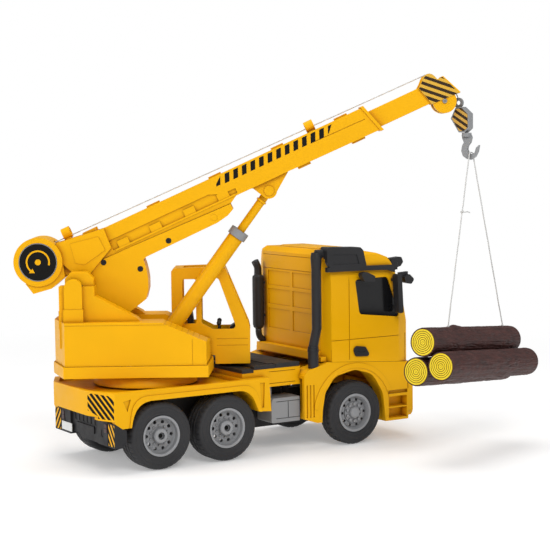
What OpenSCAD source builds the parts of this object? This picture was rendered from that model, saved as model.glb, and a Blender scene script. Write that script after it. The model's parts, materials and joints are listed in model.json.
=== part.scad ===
// Toy crane truck: three-axle chassis, driver's cab, slewing crane with
// a two-stage boom, winch, hook block and a slung bundle of three logs.
// Millimetres, +X forward, +Y left, +Z up. The origin is on the slewing axis,
// in the plane of the flat belly of the chassis tray.

/* [Chassis] */
// Height of the flat belly above the ground
base_h = 20; // [18:0.5:22]
// Half width over the tyres and the bodywork
half_w = 61.6; // [60:0.1:64]
// First rear axle, measured from the slewing axis
axle1_x = -16.5; // [-17.5:0.1:-16]
// Second rear axle
axle2_x = 49.1; // [48.8:0.1:50]
// Steered front axle
front_x = 186.1; // [185:0.1:187]
// Radius of every tyre
tyre_r = 29.7; // [29:0.1:30]
// Radius of the tyre seat on the rims
rim_r = 17.8; // [17:0.1:18.4]
// Width of a rear tyre
rear_tyre_w = 26; // [24:0.5:27]
// Width of a front tyre
front_tyre_w = 18; // [16:0.5:18]
// Radius of the wheel shafts
shaft_r = 2; // [1.8:0.05:2.2]

/* [Crane] */
// Direction of the boom at rest, from straight ahead, negative to the right
crane_yaw = -31; // [-34:0.5:-30]
// Elevation of the boom at rest
boom_lift = 24.2; // [22:0.1:26]
// Boom pivot along the crane, negative behind the slewing axis
pivot_x = -54; // [-56:0.5:-52]
// Boom pivot above the ground
pivot_z = 158; // [157:0.5:160]
// Half width of the main boom
boom_hw = 13; // [12.6:0.1:13.4]
// Foot pin of the dummy ram, in front of the slewing axis
ram_x = 22; // [20:0.5:24]
// Foot pin of the dummy ram above the ground
ram_z = 114; // [113.5:0.5:116]

/* [Load] */
// Log radius
log_r = 13.3; // [12.8:0.1:13.3]
// Log length
log_l = 148; // [140:1:150]
// Direction of the logs, from straight ahead
log_yaw = 20.5; // [10:0.5:25]

/* [Fits] */
// Radial running clearance of pins and shafts
run = 0.05; // [0.03:0.01:0.08]

/* [Hidden] */
$fn = 48;

yellow = "#f3b300";
black = "#26272b";
dark = "#3b3c40";
grey = "#8d9095";
steel = "#b9bcc0";
nylon = "#f4f2ea";
cord = "#c9c4b8";

// Gears: modules, tooth counts and centre distances
drive_mod = 0.7;
axle_teeth = 17;
motor_teeth = 12;
slew_mod = 0.8;
sun_teeth = 30;
slew_teeth = 12;
gear_w = 5;
backlash = 0.22;
centre_gap = 0.08;
drive_c = drive_mod * (axle_teeth + motor_teeth) / 2 + centre_gap;
slew_c = slew_mod * (sun_teeth + slew_teeth) / 2 + centre_gap;
motor_z = tyre_r + drive_c;
motor_shaft_r = 1;

// Points in boom coordinates [along, above the pivot]
head = [358.7, 11.2];     // lower sheave
ram_top = [185, 4.9];
drum = [-25.75, 33.8];
function boom_to_crane(p) = [
  pivot_x + p[0] * cos(boom_lift) - p[1] * sin(boom_lift),
  pivot_z + p[0] * sin(boom_lift) + p[1] * cos(boom_lift)];
sheave = boom_to_crane(head);
ram_span = boom_to_crane(ram_top) - [ram_x, ram_z];
ram_ang = atan2(ram_span[1], ram_span[0]);
ram_len = norm(ram_span);

hook_ahead = 14;          // eye of the block in front of the sheave
hook_yaw = -30;           // the block hangs turned from the boom
bowl_x = 11.3;            // bowl of the hook beyond the eye
log_tilt = 4.9;           // the bundle hangs slightly nose down
bundle_z = 86;            // height of the point the bundle tilts about

// ---------- frames ----------
// Heights above the ground, origin under the slewing axis
module ground() { translate([0, 0, -base_h]) children(); }
// Turned with the crane, +X along the boom
module crane() { ground() rotate([0, 0, crane_yaw]) children(); }
module boom() { crane() translate([pivot_x, 0, pivot_z]) rotate([0, -boom_lift, 0]) children(); }
module hook_frame() {
  crane() translate([sheave[0] + hook_ahead, 0, sheave[1]]) rotate([0, 0, hook_yaw]) children();
}
// +Z along the ram
module ram() { crane() translate([ram_x, 0, ram_z]) rotate([0, 90 - ram_ang, 0]) children(); }
module both() {
  children();
  mirror([0, 1, 0]) children();
}

// ---------- solids ----------
module box(x0, x1, y0, y1, z0, z1) { translate([x0, y0, z0]) cube([x1 - x0, y1 - y0, z1 - z0]); }
// box centred across the truck, with half width hw
module mid_box(x0, x1, hw, z0, z1) { box(x0, x1, -hw, hw, z0, z1); }
// side view [x, z] carried across from y0 to y1
module side(points, y0, y1) {
  translate([0, y1, 0]) rotate([90, 0, 0]) linear_extrude(height = y1 - y0) polygon(points);
}
module mid_side(points, hw) { side(points, -hw, hw); }
// plan [x, y] from z0 to z1
module plan(points, z0, z1) {
  translate([0, 0, z0]) linear_extrude(height = z1 - z0) polygon(points);
}
// front view [y, z] from x0 to x1
module front(points, x0, x1) {
  translate([x0, 0, 0]) rotate([90, 0, 90]) linear_extrude(height = x1 - x0) polygon(points);
}
module rod_x(y, z, r, x0, x1) {
  translate([x0, y, z]) rotate([0, 90, 0]) cylinder(r = r, h = x1 - x0);
}
module rod_y(x, z, r, y0, y1) {
  translate([x, y1, z]) rotate([90, 0, 0]) cylinder(r = r, h = y1 - y0);
}
module rod_z(x, y, r, z0, z1) { translate([x, y, z0]) cylinder(r = r, h = z1 - z0); }

// ---------- outlines ----------
function arc(centre, r, a0, a1, n) =
  [for (i = [0:n]) let (a = a0 + (a1 - a0) * i / n) centre + r * [cos(a), sin(a)]];
// fillet of radius r at the corner, between its neighbours before and after
function fillet(corner, before, after, r, n) = let (
    u = (before - corner) / norm(before - corner),
    v = (after - corner) / norm(after - corner),
    half = acos(u * v) / 2,
    centre = corner + (u + v) / norm(u + v) * r / sin(half),
    start = corner + u * r / tan(half) - centre,
    end = corner + v * r / tan(half) - centre,
    a0 = atan2(start[1], start[0]),
    a1 = atan2(end[1], end[0]),
    sweep = ((a1 - a0 + 540) % 360) - 180)
  arc(centre, r, a0, a0 + sweep, n);
// outline with rounded corners, from corners [x, y, radius]
function rounded(q, n = 4) = let (m = len(q), xy = [for (c = q) [c[0], c[1]]])
  [for (i = [0:m - 1])
    each (q[i][2] == 0 ? [xy[i]] : fillet(xy[i], xy[(i + m - 1) % m], xy[(i + 1) % m], q[i][2], n))];
// involute spur gear, thinned by the backlash at the pitch line
function involute(a) = tan(a) * 180 / PI - a;
function half_tooth(r, teeth, mod) = let (base_r = teeth * mod / 2 * cos(20))
  90 / teeth - backlash / (teeth * mod) * 180 / PI + involute(20)
  - involute(acos(min(1, base_r / max(r, base_r))));
function gear(teeth, mod, turn) = let (
    pitch_r = teeth * mod / 2,
    root_r = pitch_r - 1.05 * mod,
    flank_r = max(pitch_r * cos(20), root_r),
    tip_r = pitch_r + 0.8 * mod,
    radii = concat([root_r], [for (k = [0:4]) flank_r + (tip_r - flank_r) * k / 4]))
  [for (t = [0:teeth - 1]) for (s = [-1, 1]) for (k = [0:5])
    let (r = radii[s < 0 ? k : 5 - k], a = turn + 360 * t / teeth + s * half_tooth(r, teeth, mod))
    r * [cos(a), sin(a)]];

// ---------- chassis ----------
tray_back = -53;
tray_front = 237;
tray_hw = 26;
tray_wall = 2.5;
tray_top = 61.8;
hatch = [62, 118];        // battery opening in the belly, along x
hatch_hw = 20;
cover_gap = 0.2;
beam_hw = 5;              // front axle beam, half length along x
beam_z = [25, 35];
kingpin_y = 38;
kingpin_r = 1.5;
servo_x = 160.1;          // output shaft of the steering servo
servo_r = 2.5;
link_x = 172.1;           // pins of the tie rod
link_r = 1.2;

module chassis_tray() { color(dark) ground() difference() {
  union() {
    mid_box(tray_back, tray_front, tray_hw, base_h, 44);
    mid_box(tray_back, 126, tray_hw, 44, tray_top);
    mid_box(126, 146, 12, 44, tray_top);
  }
  // cavity, less the ledges and cross walls left standing in it
  difference() {
    mid_box(tray_back + tray_wall, tray_front - tray_wall, tray_hw - tray_wall,
      base_h + tray_wall, 70);
    both() box(2, 38, 21, 24, 30, 43.8);
    mid_box(126, 130, 24, 22, 70);
    both() box(138, 144, 9, 12, 22, 70);
    mid_box(52.9, 57.4, 24, 22, 30);
  }
  mid_box(130, 143.6, 9, 40, 70);
  mid_box(hatch[0], hatch[1], hatch_hw, 19, 23);
  for (x = [axle1_x, axle2_x]) rod_y(x, tyre_r, shaft_r + run, -30, 30);
  // openings for the front axle beam and the tie rod
  mid_box(front_x - beam_hw - 0.2, front_x + beam_hw + 0.2, 30, beam_z[0] - 0.2, beam_z[1] + 0.2);
  mid_box(167, 177.5, 30, 31.5, 38.5);
  for (x = [-40, 20, 150]) for (y = [-10, 10]) box(x, x + 12, y - 1, y + 1, 24, 24.5);
} }
module battery_cover() { color(dark) ground() difference() {
  mid_box(hatch[0] + cover_gap, hatch[1] - cover_gap, hatch_hw - cover_gap, base_h, 22.4);
  for (i = [0:4]) mid_box(100 + i * 2.6, 101.2 + i * 2.6, 12, 19, 20.7);
  // countersunk screw hole
  rod_z(68, 0, 3, 19, 20.9);
  rod_z(68, 0, 1.3, 19, 23);
} }
module battery_pack() { color("#2f62a8") ground() {
  for (i = [0:3]) rod_y(69.4 + i * 13.6, 30, 7, -21, 21);
  mid_box(69, 110.6, 21, 25, 35);
  box(112, 118, 21, 23, 28, 32);
} }
module receiver_board() { color("#2e7d46") ground() {
  mid_box(2.2, 37.8, 23.2, 44, 45.6);
  mid_box(8, 18, 6, 45.5, 47.4);
  for (y = [-16, 14]) box(24, 31, y - 3, y + 3, 45.5, 49);
  rod_z(31, 0, 2.2, 45.5, 53);
} }
module drive_motor() { color(steel) ground() difference() {
  union() {
    intersection() {
      rod_y(axle1_x, motor_z, 7.4, -1, 21);
      box(axle1_x - 6, axle1_x + 6, -1, 21, 32, 60);
    }
    // legs down to the tray floor
    box(axle1_x - 10, axle1_x - 5.9, 2, 18, 22.6, 42);
    box(axle1_x + 5.9, axle1_x + 10, 2, 18, 22.6, 42);
  }
  rod_y(axle1_x, motor_z, motor_shaft_r + run, -2, 22);
} }
module drive_pinion() { color(nylon) ground() {
  rod_y(axle1_x, motor_z, motor_shaft_r, -9, 20);
  translate([axle1_x, -5, motor_z]) rotate([90, 0, 0]) linear_extrude(height = gear_w)
    polygon(gear(motor_teeth, drive_mod, -90 + 180 / motor_teeth));
} }
module steering_servo() { color(black) ground() difference() {
  union() {
    mid_box(146.6, 168, 10.5, 22.6, 31);
    mid_box(143.8, 170.6, 5, 26, 28);
  }
  rod_z(servo_x, 0, servo_r + run, 25, 32);
} }
module servo_horn() { color("white") ground() {
  rod_z(servo_x, 0, servo_r, 26, 36);
  plan(concat(arc([servo_x, 0], 3.4, 90, 270, 8), arc([link_x, 0], 2, -90, 90, 8)), 35.7, 37.4);
  rod_z(link_x, 0, link_r, 33.2, 36);
} }
module tie_rod() { color(black) ground() difference() {
  mid_box(168.2, 175.9, 40.2, 33, 35);
  for (y = [-kingpin_y, 0, kingpin_y])
    plan(concat(arc([172.9, y], 1.45, -90, 90, 8), arc([171, y], 1.45, 90, 270, 8)), 32, 36);
} }
module front_axle_beam() { color(dark) ground() difference() {
  union() {
    mid_box(front_x - beam_hw, front_x + beam_hw, 33.4, beam_z[0], beam_z[1]);
    // forks round the knuckles
    both() {
      box(front_x - 4, front_x + 4, 33, 41, beam_z[0], 27.5);
      box(front_x - 4, front_x + 4, 33, 41, 32.1, beam_z[1]);
    }
  }
  both() rod_z(front_x, kingpin_y, kingpin_r + run, 24, 36);
  both() box(front_x - 2.1, front_x + 2.1, 8, 28, 29, 36);
} }
// side_sign: 1 left, -1 right
module knuckle(side_sign) {
  rod_z(front_x, side_sign * kingpin_y, 3.9, 27.6, 32);
  rod_z(front_x, side_sign * kingpin_y, kingpin_r, 25.2, 34.8);
  rod_y(front_x, tyre_r, shaft_r, side_sign > 0 ? 38 : -59, side_sign > 0 ? 59 : -38);
  rod_y(front_x, tyre_r, 3.2, side_sign > 0 ? 42.2 : -43.2, side_sign > 0 ? 43.2 : -42.2);
  // steering arm and its pin
  box(170.6, 183.5, side_sign * kingpin_y - 1.6, side_sign * kingpin_y + 1.6, 28, 31.6);
  rod_z(link_x, side_sign * kingpin_y, link_r, 31, 37);
}
module steering_knuckle_left() { color(steel) ground() knuckle(1); }
module steering_knuckle_right() { color(steel) ground() knuckle(-1); }

// ---------- wheels ----------
// turned part on a wheel axis at x, from a profile [radius, y]
module turned(x, profile) {
  translate([x, 0, tyre_r]) rotate([-90, 0, 0]) rotate_extrude($fn = 96) polygon(profile);
}
// ten pins round the wheel axis, running inward from y
module pin_circle(ring_r, turn, y, r, h) {
  for (k = [0:9]) let (a = 36 * k + turn)
    translate([ring_r * cos(a), y, tyre_r + ring_r * sin(a)]) rotate([90, 0, 0])
      cylinder(r = r, h = h, $fn = 24);
}
function tyre_profile(w) = let (
    outer = half_w,
    inner = half_w - w,
    middle = half_w - w / 2,
    seat_r = rim_r + 0.03)
  rounded([
    [seat_r, inner + 1.6, 0.8], [21.5, inner, 2], [26.8, inner + 0.2, 2],
    [tyre_r - 0.5, inner + 2.2, 1.2], [tyre_r, middle - 3, 0], [tyre_r, middle + 3, 0],
    [tyre_r - 0.5, outer - 2.2, 1.2], [26.8, outer - 0.2, 2], [21.5, outer, 2],
    [seat_r, outer - 1.6, 0.8]]);
// Rim profiles: [radius, y from the outer face]
rear_rim_profile = [
  [shaft_r + 0.02, -24], [shaft_r + 0.02, -3.2], [3.2, -3.2], [3.2, -1.4], [5.6, -1.4],
  [6.4, -2.2], [6.7, -5.8], [7.4, -6.4], [13.4, -6.4], [15.2, -4.4], [15.7, -1.3],
  [16.2, -0.9], [rim_r, -0.9], [rim_r, -24.6], [16.2, -24.6], [16, -9.2], [6.6, -9], [6.4, -24]];
front_rim_profile = [
  [0, -2.4], [0, 0.5], [3.4, 0.3], [4.8, -0.5], [5.8, -2.8], [9.8, -3.2], [10.4, -4.2],
  [13.4, -4.6], [15.1, -2], [15.7, -0.9], [rim_r, -0.9], [rim_r, -17], [16, -17], [16, -8],
  [6, -7.4], [5.2, -18.2], [shaft_r + run, -18.2], [shaft_r + run, -2.4]];
module rim(profile) { turned(0, [for (p = profile) [p[0], half_w + p[1]]]); }
module rear_rim() { difference() {
  union() {
    rim(rear_rim_profile);
    pin_circle(8.8, 18, half_w - 5.5, 0.75, 2);
  }
  pin_circle(12, 0, half_w - 5, 1.55, 6);
} }
module front_rim() { difference() {
  union() {
    rim(front_rim_profile);
    pin_circle(8, 18, half_w - 1.9, 1.2, 2);
  }
  pin_circle(12.1, 0, half_w - 3, 1.35, 7);
} }
module rear_shaft(x) { rod_y(x, tyre_r, shaft_r, -half_w + 3.6, half_w - 3.6); }
module front_rim_left() { color(grey) ground() translate([front_x, 0, 0]) front_rim(); }
module front_rim_right() {
  color(grey) ground() translate([front_x, 0, 0]) mirror([0, 1, 0]) front_rim();
}
module front_tyre_left() { color(black) ground() turned(front_x, tyre_profile(front_tyre_w)); }
module front_tyre_right() {
  color(black) ground() mirror([0, 1, 0]) turned(front_x, tyre_profile(front_tyre_w));
}
module rear_axle1_shaft() { color(steel) ground() rear_shaft(axle1_x); }
module rear_axle2_shaft() { color(steel) ground() rear_shaft(axle2_x); }
module rear_axle1_gear() {
  color(nylon) ground() translate([axle1_x, -5, tyre_r]) rotate([90, 0, 0])
    linear_extrude(height = gear_w) difference() {
      polygon(gear(axle_teeth, drive_mod, 90));
      circle(r = shaft_r + 0.01);
    }
}
module rear_axle1_rims() { color(grey) ground() translate([axle1_x, 0, 0]) both() rear_rim(); }
module rear_axle2_rims() { color(grey) ground() translate([axle2_x, 0, 0]) both() rear_rim(); }
module rear_axle1_tyres() { color(black) ground() both() turned(axle1_x, tyre_profile(rear_tyre_w)); }
module rear_axle2_tyres() { color(black) ground() both() turned(axle2_x, tyre_profile(rear_tyre_w)); }

// ---------- rear bodywork ----------
// Plan [x, y] and side view [x, z]
deck_plan = [[-74.2, -35], [-61.3, -half_w], [131.5, -half_w],
  [131.5, half_w], [-61.3, half_w], [-74.2, 35]];
wheel_opening = rounded([[-44.4, 46, 0], [-39.5, 61.6, 17], [72.5, 61.9, 17], [80.6, 41.6, 0]]);
deck_side = concat(
  [[-75, 49.8], [-69.2, 49.4], [-69.2, 46.6], [-60.9, 46.2], [-60.9, 44.6], [-54, 39.7],
   [-46.6, 40]],
  wheel_opening,
  [[94.2, 40.4], [92.2, 70.9], [-75, 70.9]]);
opening_frame = concat(
  rounded([[-47.5, 40, 0], [-43.5, 66, 15], [77, 66.2, 15], [84.6, 41, 0]]),
  [for (i = [len(wheel_opening) - 1:-1:0]) wheel_opening[i]],
  [[-45.6, 40]]);

module rear_deck() { color(yellow) ground() difference() {
  union() {
    intersection() {
      mid_side(deck_side, half_w);
      plan(deck_plan, 30, 90);
    }
    mid_box(70, 131.2, 52, 60.8, 77.7);
    // raised frames round the wheel openings
    both() side(opening_frame, half_w - 2, half_w + 0.7);
  }
  // sunk floor of the rear platform
  plan([[-70.4, -32], [-58, -56.6], [66, -56.6], [66, 56.6], [-58, 56.6], [-70.4, 32]], 67.5, 80);
  // room for the tray and the wheels
  mid_box(-53.3, 126.2, 26.3, 20, 62.1);
  mid_box(125, 132, 13, 20, 62.1);
  plan([[-71.8, -33.6], [-59.4, -58.8], [-50, -58.8], [-50, 58.8], [-59.4, 58.8], [-71.8, 33.6]],
    20, 64.9);
  mid_box(84, 128.5, 49, 55, 74.8);
  mid_box(-48, 90, half_w + 5, 20, 39);
  both() {
    // pressed panels behind and in front of the wheel openings
    side([[-53, 63], [-45.8, 64.5], [-49.2, 54]], half_w - 1.2, half_w + 2);
    side([[82.5, 67], [87.5, 67], [86.6, 44.5], [84.2, 44.5]], half_w - 1.2, half_w + 2);
    // long grooves on the front box
    box(98, 126, 51.2, 53, 63.5, 64.1);
    box(98, 126, 51.2, 53, 74.2, 74.8);
  }
} }
module rear_bumper() { color(dark) ground() difference() {
  union() {
    both() {
      box(-61.6, -53.9, 28.4, half_w, 23.4, 44.3);
      side(rounded([[-61.4, 26, 0], [-61.4, 43.5, 0], [-50, 38, 0], [-50, 26, 3]]),
        half_w - 3, half_w - 0.4);
    }
    mid_box(-59.4, -53.6, 29, 26, 46.5);
    mid_box(-60.6, -54, 18, 30, 36);
    mid_box(-59.4, -53.4, 24, 46, 62);
  }
  both() {
    box(-62, -60.8, 47.6, 49, 22, 45);
    rod_x(38, 33.6, 3.4, -62, -61.1);
    side([[-61.1, 44.6], [-54, 39.5], [-53, 39.5], [-53, 46], [-61.1, 46]], 54, 63);
  }
  for (y = [-20:8:20]) box(-62, -58.8, y - 2.6, y + 2.6, 37.6, 44);
} }
module tread_mats() { color(black) ground() difference() {
  union() {
    mid_box(66.4, 83.6, 50, 72.6, 76);
    mid_box(85.2, 127.8, 50.4, 77.85, 80.6);
    mid_box(100, 127.8, 46, 80.5, 81.4);
  }
  mid_box(65, 69.9, 60, 72, 77.6);
  mid_box(69.8, 84.5, 52.2, 70, 77.8);
  for (i = [0:7]) mid_box(86 + i * 1.65, 86.7 + i * 1.65, 48, 80.3, 81);
} }
module side_box() {
  difference() {
    side(rounded([[99, 27.5, 2], [134, 27.5, 2], [134, 50, 3.5], [99, 50, 3.5]]), 29, 54);
    // grooves on the outer face
    for (z = [31, 46.4]) box(104, 129, 53.2, 55, z, z + 0.6);
    box(116.4, 117.2, 53.2, 55, 31, 47);
  }
  // bracket to the tray
  box(96, 104, 26.2, 46, 50.2, 60.4);
  box(96, 101.1, 26.2, 46, 38, 50.3);
}
module side_boxes() { color(grey) ground() intersection() {
  both() side_box();
  mid_box(95, 129.2, 60, 20, 60.6);
} }

spigot_r = 24;            // crane base in the turntable ring
slew_gear_z = 82;
module turntable_ring() { color(black) ground() difference() {
  union() {
    rod_z(0, 0, 34, 67.6, 72.8);
    difference() {
      rod_z(0, 0, 34, 72, 78.4);
      rod_z(0, 0, spigot_r + run, 72.8, 79);
    }
    rod_z(0, 0, 8, 72, 82);
    translate([0, 0, slew_gear_z]) linear_extrude(height = gear_w)
      polygon(gear(sun_teeth, slew_mod, crane_yaw + 180));
  }
  for (k = [0:5]) rod_z(30 * cos(60 * k), 30 * sin(60 * k), 1.6, 76, 80);
  rod_z(0, 0, 5, 66, 88);
} }

// ---------- truck cab ----------
// Outer and inner outlines: side view [x, z], plan [x, y], front view [y, z]
cab_side = [[155.6, 79.7], [155.6, 177], [159.6, 181.8], [193, 181.4], [215, 177.2],
  [225.5, 173], [229.5, 166], [235, 152.9], [242, 136.4], [250.6, 106], [252, 94], [252.4, 72.7]];
cab_plan = [[155.6, -50], [160, -half_w], [236, -half_w], [249, -56], [253, -44],
  [253, 44], [249, 56], [236, half_w], [160, half_w], [155.6, 50]];
cab_front = [[-half_w, 60], [-half_w, 150], [-60.4, 168], [-57, 176], [-49, 182],
  [49, 182], [57, 176], [60.4, 168], [half_w, 150], [half_w, 60]];
cab_in_side = [[157.8, 70], [157.8, 176], [160.8, 179.4], [192.6, 179], [214.2, 174.9],
  [223.6, 171.2], [227.2, 165], [232.8, 152], [239.7, 135.6], [248.2, 105.6], [249.6, 94],
  [250, 70]];
cab_in_plan = [[157.8, -49], [161.4, -59.4], [235, -59.4], [247, -54.5], [250.6, -43],
  [250.6, 43], [247, 54.5], [235, 59.4], [161.4, 59.4], [157.8, 49]];
cab_in_front = [[-59.4, 60], [-59.4, 150], [-58.2, 167.4], [-55.2, 174.6], [-48, 179.8],
  [48, 179.8], [55.2, 174.6], [58.2, 167.4], [59.4, 150], [59.4, 60]];
side_glass = rounded([[186.6, 153.8, 3], [223.4, 154.8, 4.5], [238, 116, 3], [191.4, 121.4, 4]]);
exhaust_at = [149.2, 53]; // [x, y]

// foot of the windscreen, +Z up its slope
module windscreen() { translate([230, 0, 114]) rotate([0, -15.6, 0]) children(); }
module cab_shell() { color(yellow) ground() difference() {
  union() {
    intersection() {
      mid_side(cab_side, half_w);
      plan(cab_plan, 60, 190);
      front(cab_front, 140, 260);
    }
    // ledge at the foot of the rear wall
    mid_box(147, 157, 50, 81.6, 88.6);
    mid_box(151, 157, 57, 79.7, 84);
    // raised roof panel
    intersection() {
      mid_box(165, 212, 34, 170, 183.2);
      mid_side([[165, 170], [165, 182.2], [168, 183.2], [192, 183], [212, 178.6], [212, 170]], 40);
    }
  }
  intersection() {
    mid_side(cab_in_side, 59.4);
    plan(cab_in_plan, 60, 190);
    front(cab_in_front, 140, 260);
  }
  mid_side(side_glass, 70);
  rod_z(exhaust_at[0], exhaust_at[1], 3.75, 81.5, 90);
  windscreen() mid_box(0, 30, 49, 0, 44);
  // pressed panels and grooves of the rear wall
  for (y = [-41, 2.4]) for (z = [[103, 122], [126, 141], [144.4, 158.6]])
    box(154, 156.4, y, y + 38.6, z[0], z[1]);
  mid_box(154, 156.1, 60, 160.4, 161.2);
  mid_box(154, 156.1, 60, 173.6, 174.2);
  // door outline and neighbouring grooves
  both() {
    box(179.4, 180.2, 61, 63, 80, 160);
    box(152, 250, 61, 63, 98.4, 99);
    box(179.4, 233, 61, 63, 159.6, 160.3);
    box(159.4, 160, 60.8, 63, 79, 90);
    box(246.4, 247.1, 50, 63, 72, 100);
  }
} }

// Side views [x, z] of the fender, its wheel opening and the bumper; bumper plan [x, y]
fender_side = [[220.6, 18.2], [246.9, 18.2], [247.2, 26], [252.4, 26], [252.4, 72.4],
  [155.8, 79.5], [145, 76.4], [134, 73.6], [129.6, 69], [129.6, 29.2], [143.6, 24.4],
  [148.9, 24.3]];
arch_side = concat([[221, 10], [148, 10]], rounded([
  [148.9, 24.3, 0], [149.6, 36, 20], [152.6, 52, 12], [163.4, 65.6, 14], [186, 70.4, 18],
  [205.5, 64.6, 16], [217.6, 46, 18], [220.6, 18, 0]], 5));
bumper_side = [[246, 21.4], [252, 21.2], [259, 26.7], [261.2, 34.8], [258.2, 46], [252, 47.4],
  [246, 47.4]];
bumper_plan = [[244, -half_w], [255, -57.6], [262, -44], [262, 44], [255, 57.6], [244, half_w]];
swage_at = [184.8, 31];
module cab_fenders() { color(yellow) ground() difference() {
  union() {
    both() side(fender_side, 44.5, half_w);
    // swage over the wheel opening
    both() side(concat(arc(swage_at, 45.4, 4, 172, 20), arc(swage_at, 41, 172, 4, 20)),
      half_w - 2, half_w + 0.6);
    mid_box(150, 252, 46, 70.2, 72.4);
    mid_box(248.4, 252.4, 46, 26, 72.4);
    intersection() {
      mid_side(bumper_side, half_w);
      plan(bumper_plan, 10, 60);
    }
    mid_box(230, 252, 26.5, 21.4, 24);
  }
  both() side(arch_side, 40, half_w + 3);
  mid_box(228, 237.3, 26.6, 19, 50);
  both() {
    // steps
    box(223.4, 246, half_w - 2.4, half_w + 3, 43.6, 47);
    box(224.2, 245.4, half_w - 9, half_w + 3, 31.4, 41);
    box(224.2, 245.4, half_w - 9, half_w + 3, 20.6, 30.2);
    // grooves on the rear corner of the fender
    for (i = [0:2]) box(131.8 + 3.6 * i, 133.4 + 3.6 * i, half_w - 0.8, half_w + 2, 30, 60);
    // clearance at the rear edge
    box(129, 136, 44, 58, 20, 66);
    box(129, 131.4, 44, 52.2, 60, 80);
    // room inside for the steered tyre
    rod_y(front_x, tyre_r, 36.3, 40, 57);
    // lamp pocket
    box(256.8, 264, 40, 54, 30, 41);
    // upright groove above the steps
    box(246.2, 247.1, 60.6, 63, 47, 72);
  }
} }
module cab_windows() { color("#17181c") ground() difference() {
  union() {
    both() {
      side(rounded([[186.9, 153.5, 3], [223.1, 154.5, 4.5], [237.6, 116.4, 3], [191.6, 121.7, 4]]),
        half_w - 1.6, half_w - 0.7);
      side([[184, 156], [226, 157.4], [236, 128], [236, 112.6], [189, 119]],
        half_w - 3.9, half_w - 2.9);
      side(rounded([[190.6, 150.5, 3], [221, 151.3, 4.5], [233.4, 119.4, 3], [194.6, 124.4, 4]]),
        half_w - 3.2, half_w - 1.5);
    }
    windscreen() mid_box(13.4, 14.6, 48.6, 0.4, 43.6);
  }
  intersection() {
    mid_box(150, 240, 58.4, 100, 160);
    mid_side([[150, 100], [230, 100], [225, 160], [150, 160]], 70);
  }
} }
module front_grille() { color(black) ground() difference() {
  union() {
    mid_side([[252.6, 49], [255.4, 49], [255.4, 96], [252.6, 97]], 38);
    both() box(252.6, 254.2, 38.5, 43, 52, 92);
  }
  for (i = [0:4]) mid_box(254.2, 256, 34, 54 + i * 8.4, 59 + i * 8.4);
} }
// on the right of the roof, with a lip that reaches over its edge
module side_fairing() { color(black) ground() mirror([0, 1, 0]) difference() {
  union() {
    side(rounded([[153.2, 171.5, 2], [153.2, 185.4, 3.5], [190.2, 184, 3], [193.4, 181, 2],
      [197, 166.4, 0], [227.6, 165.9, 0], [229.8, 158.8, 0], [222, 161.4, 0], [197, 162.2, 0],
      [153.4, 162.5, 0], [153.4, 166.8, 0], [156, 166.8, 0]]), half_w + 0.25, half_w + 4.2);
    intersection() {
      side(rounded([[153.2, 173.5, 2], [153.2, 185.4, 3.5], [190.2, 184, 3], [193.4, 181, 2],
        [194, 177, 0], [194, 173.5, 0]]), 50, half_w + 4.2);
      front([[52, 186], [58.6, 177.5], [61.9, 169], [70, 169], [70, 186]], 140, 200);
    }
  }
  side([[160, 178.4], [186, 177.4], [189, 168.6], [160, 169]], half_w + 3.4, half_w + 6);
} }
module sun_visor() { color(black) ground() difference() {
  union() {
    intersection() {
      mid_side(rounded([[231.4, 166.2, 0], [236.4, 168.2, 1.5], [246, 162.4, 2],
        [245, 159.6, 1], [236.6, 160.6, 0], [233.8, 159.4, 0]]), 58);
      plan([[225, -58], [238, -58], [246, -46], [246.6, 0], [246, 46], [238, 58], [225, 58]],
        150, 175);
    }
    // raised blocks at the ends
    both() side(rounded([[229.8, 165.4, 0], [231.6, 171.4, 1.5], [243, 172.4, 2],
      [245.2, 167.4, 1.5], [242.2, 163.6, 0], [238, 162.4, 0], [233, 162.6, 0]]), 50, 57.5);
  }
  both() rod_x(53.8, 167.9, 2.4, 243.4, 247);
} }
module mirrors() { color(black) ground() both() {
  // wide-angle mirror over the door and its arm
  side(rounded([[186, 160, 2], [193, 161.2, 2], [202.4, 157, 1.5], [202.2, 151.8, 1.5],
    [190.6, 152.4, 2]]), 66, 72);
  box(192, 197, half_w + 0.25, 67, 154.4, 157);
  // tall main mirror on two arms
  side(rounded([[226.4, 157, 2], [231.6, 157.6, 2], [233.6, 121, 2], [228.4, 120.6, 2]]),
    65.4, 73.5);
  box(227.4, 230.4, half_w + 0.25, 66, 150.4, 153);
  box(229.2, 232, half_w + 0.25, 66, 124.4, 127);
  // front mirror on its stalk
  side(rounded([[238.6, 154, 2], [244.6, 156.6, 2], [250.4, 151.4, 2], [246.8, 146.8, 2],
    [240.4, 148.6, 2]]), 59.5, 68);
  side([[235, 158.2], [245, 158.8], [245, 155.6], [243.6, 154], [239.4, 154], [235, 156]],
    61.85, 65);
} }
module door_handles() { color(black) ground() both() difference() {
  side(rounded([[183.6, 88.6, 3], [186.4, 92.2, 2.5], [197.4, 90.8, 3], [201.8, 83.6, 2],
    [199.8, 81.8, 1.5], [186, 82.6, 2.5]]), half_w + 0.1, half_w + 1.3);
  side([[187.5, 88.4], [195.5, 87.4], [197, 85.6], [188.6, 86]], half_w + 0.7, half_w + 2);
} }

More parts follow.
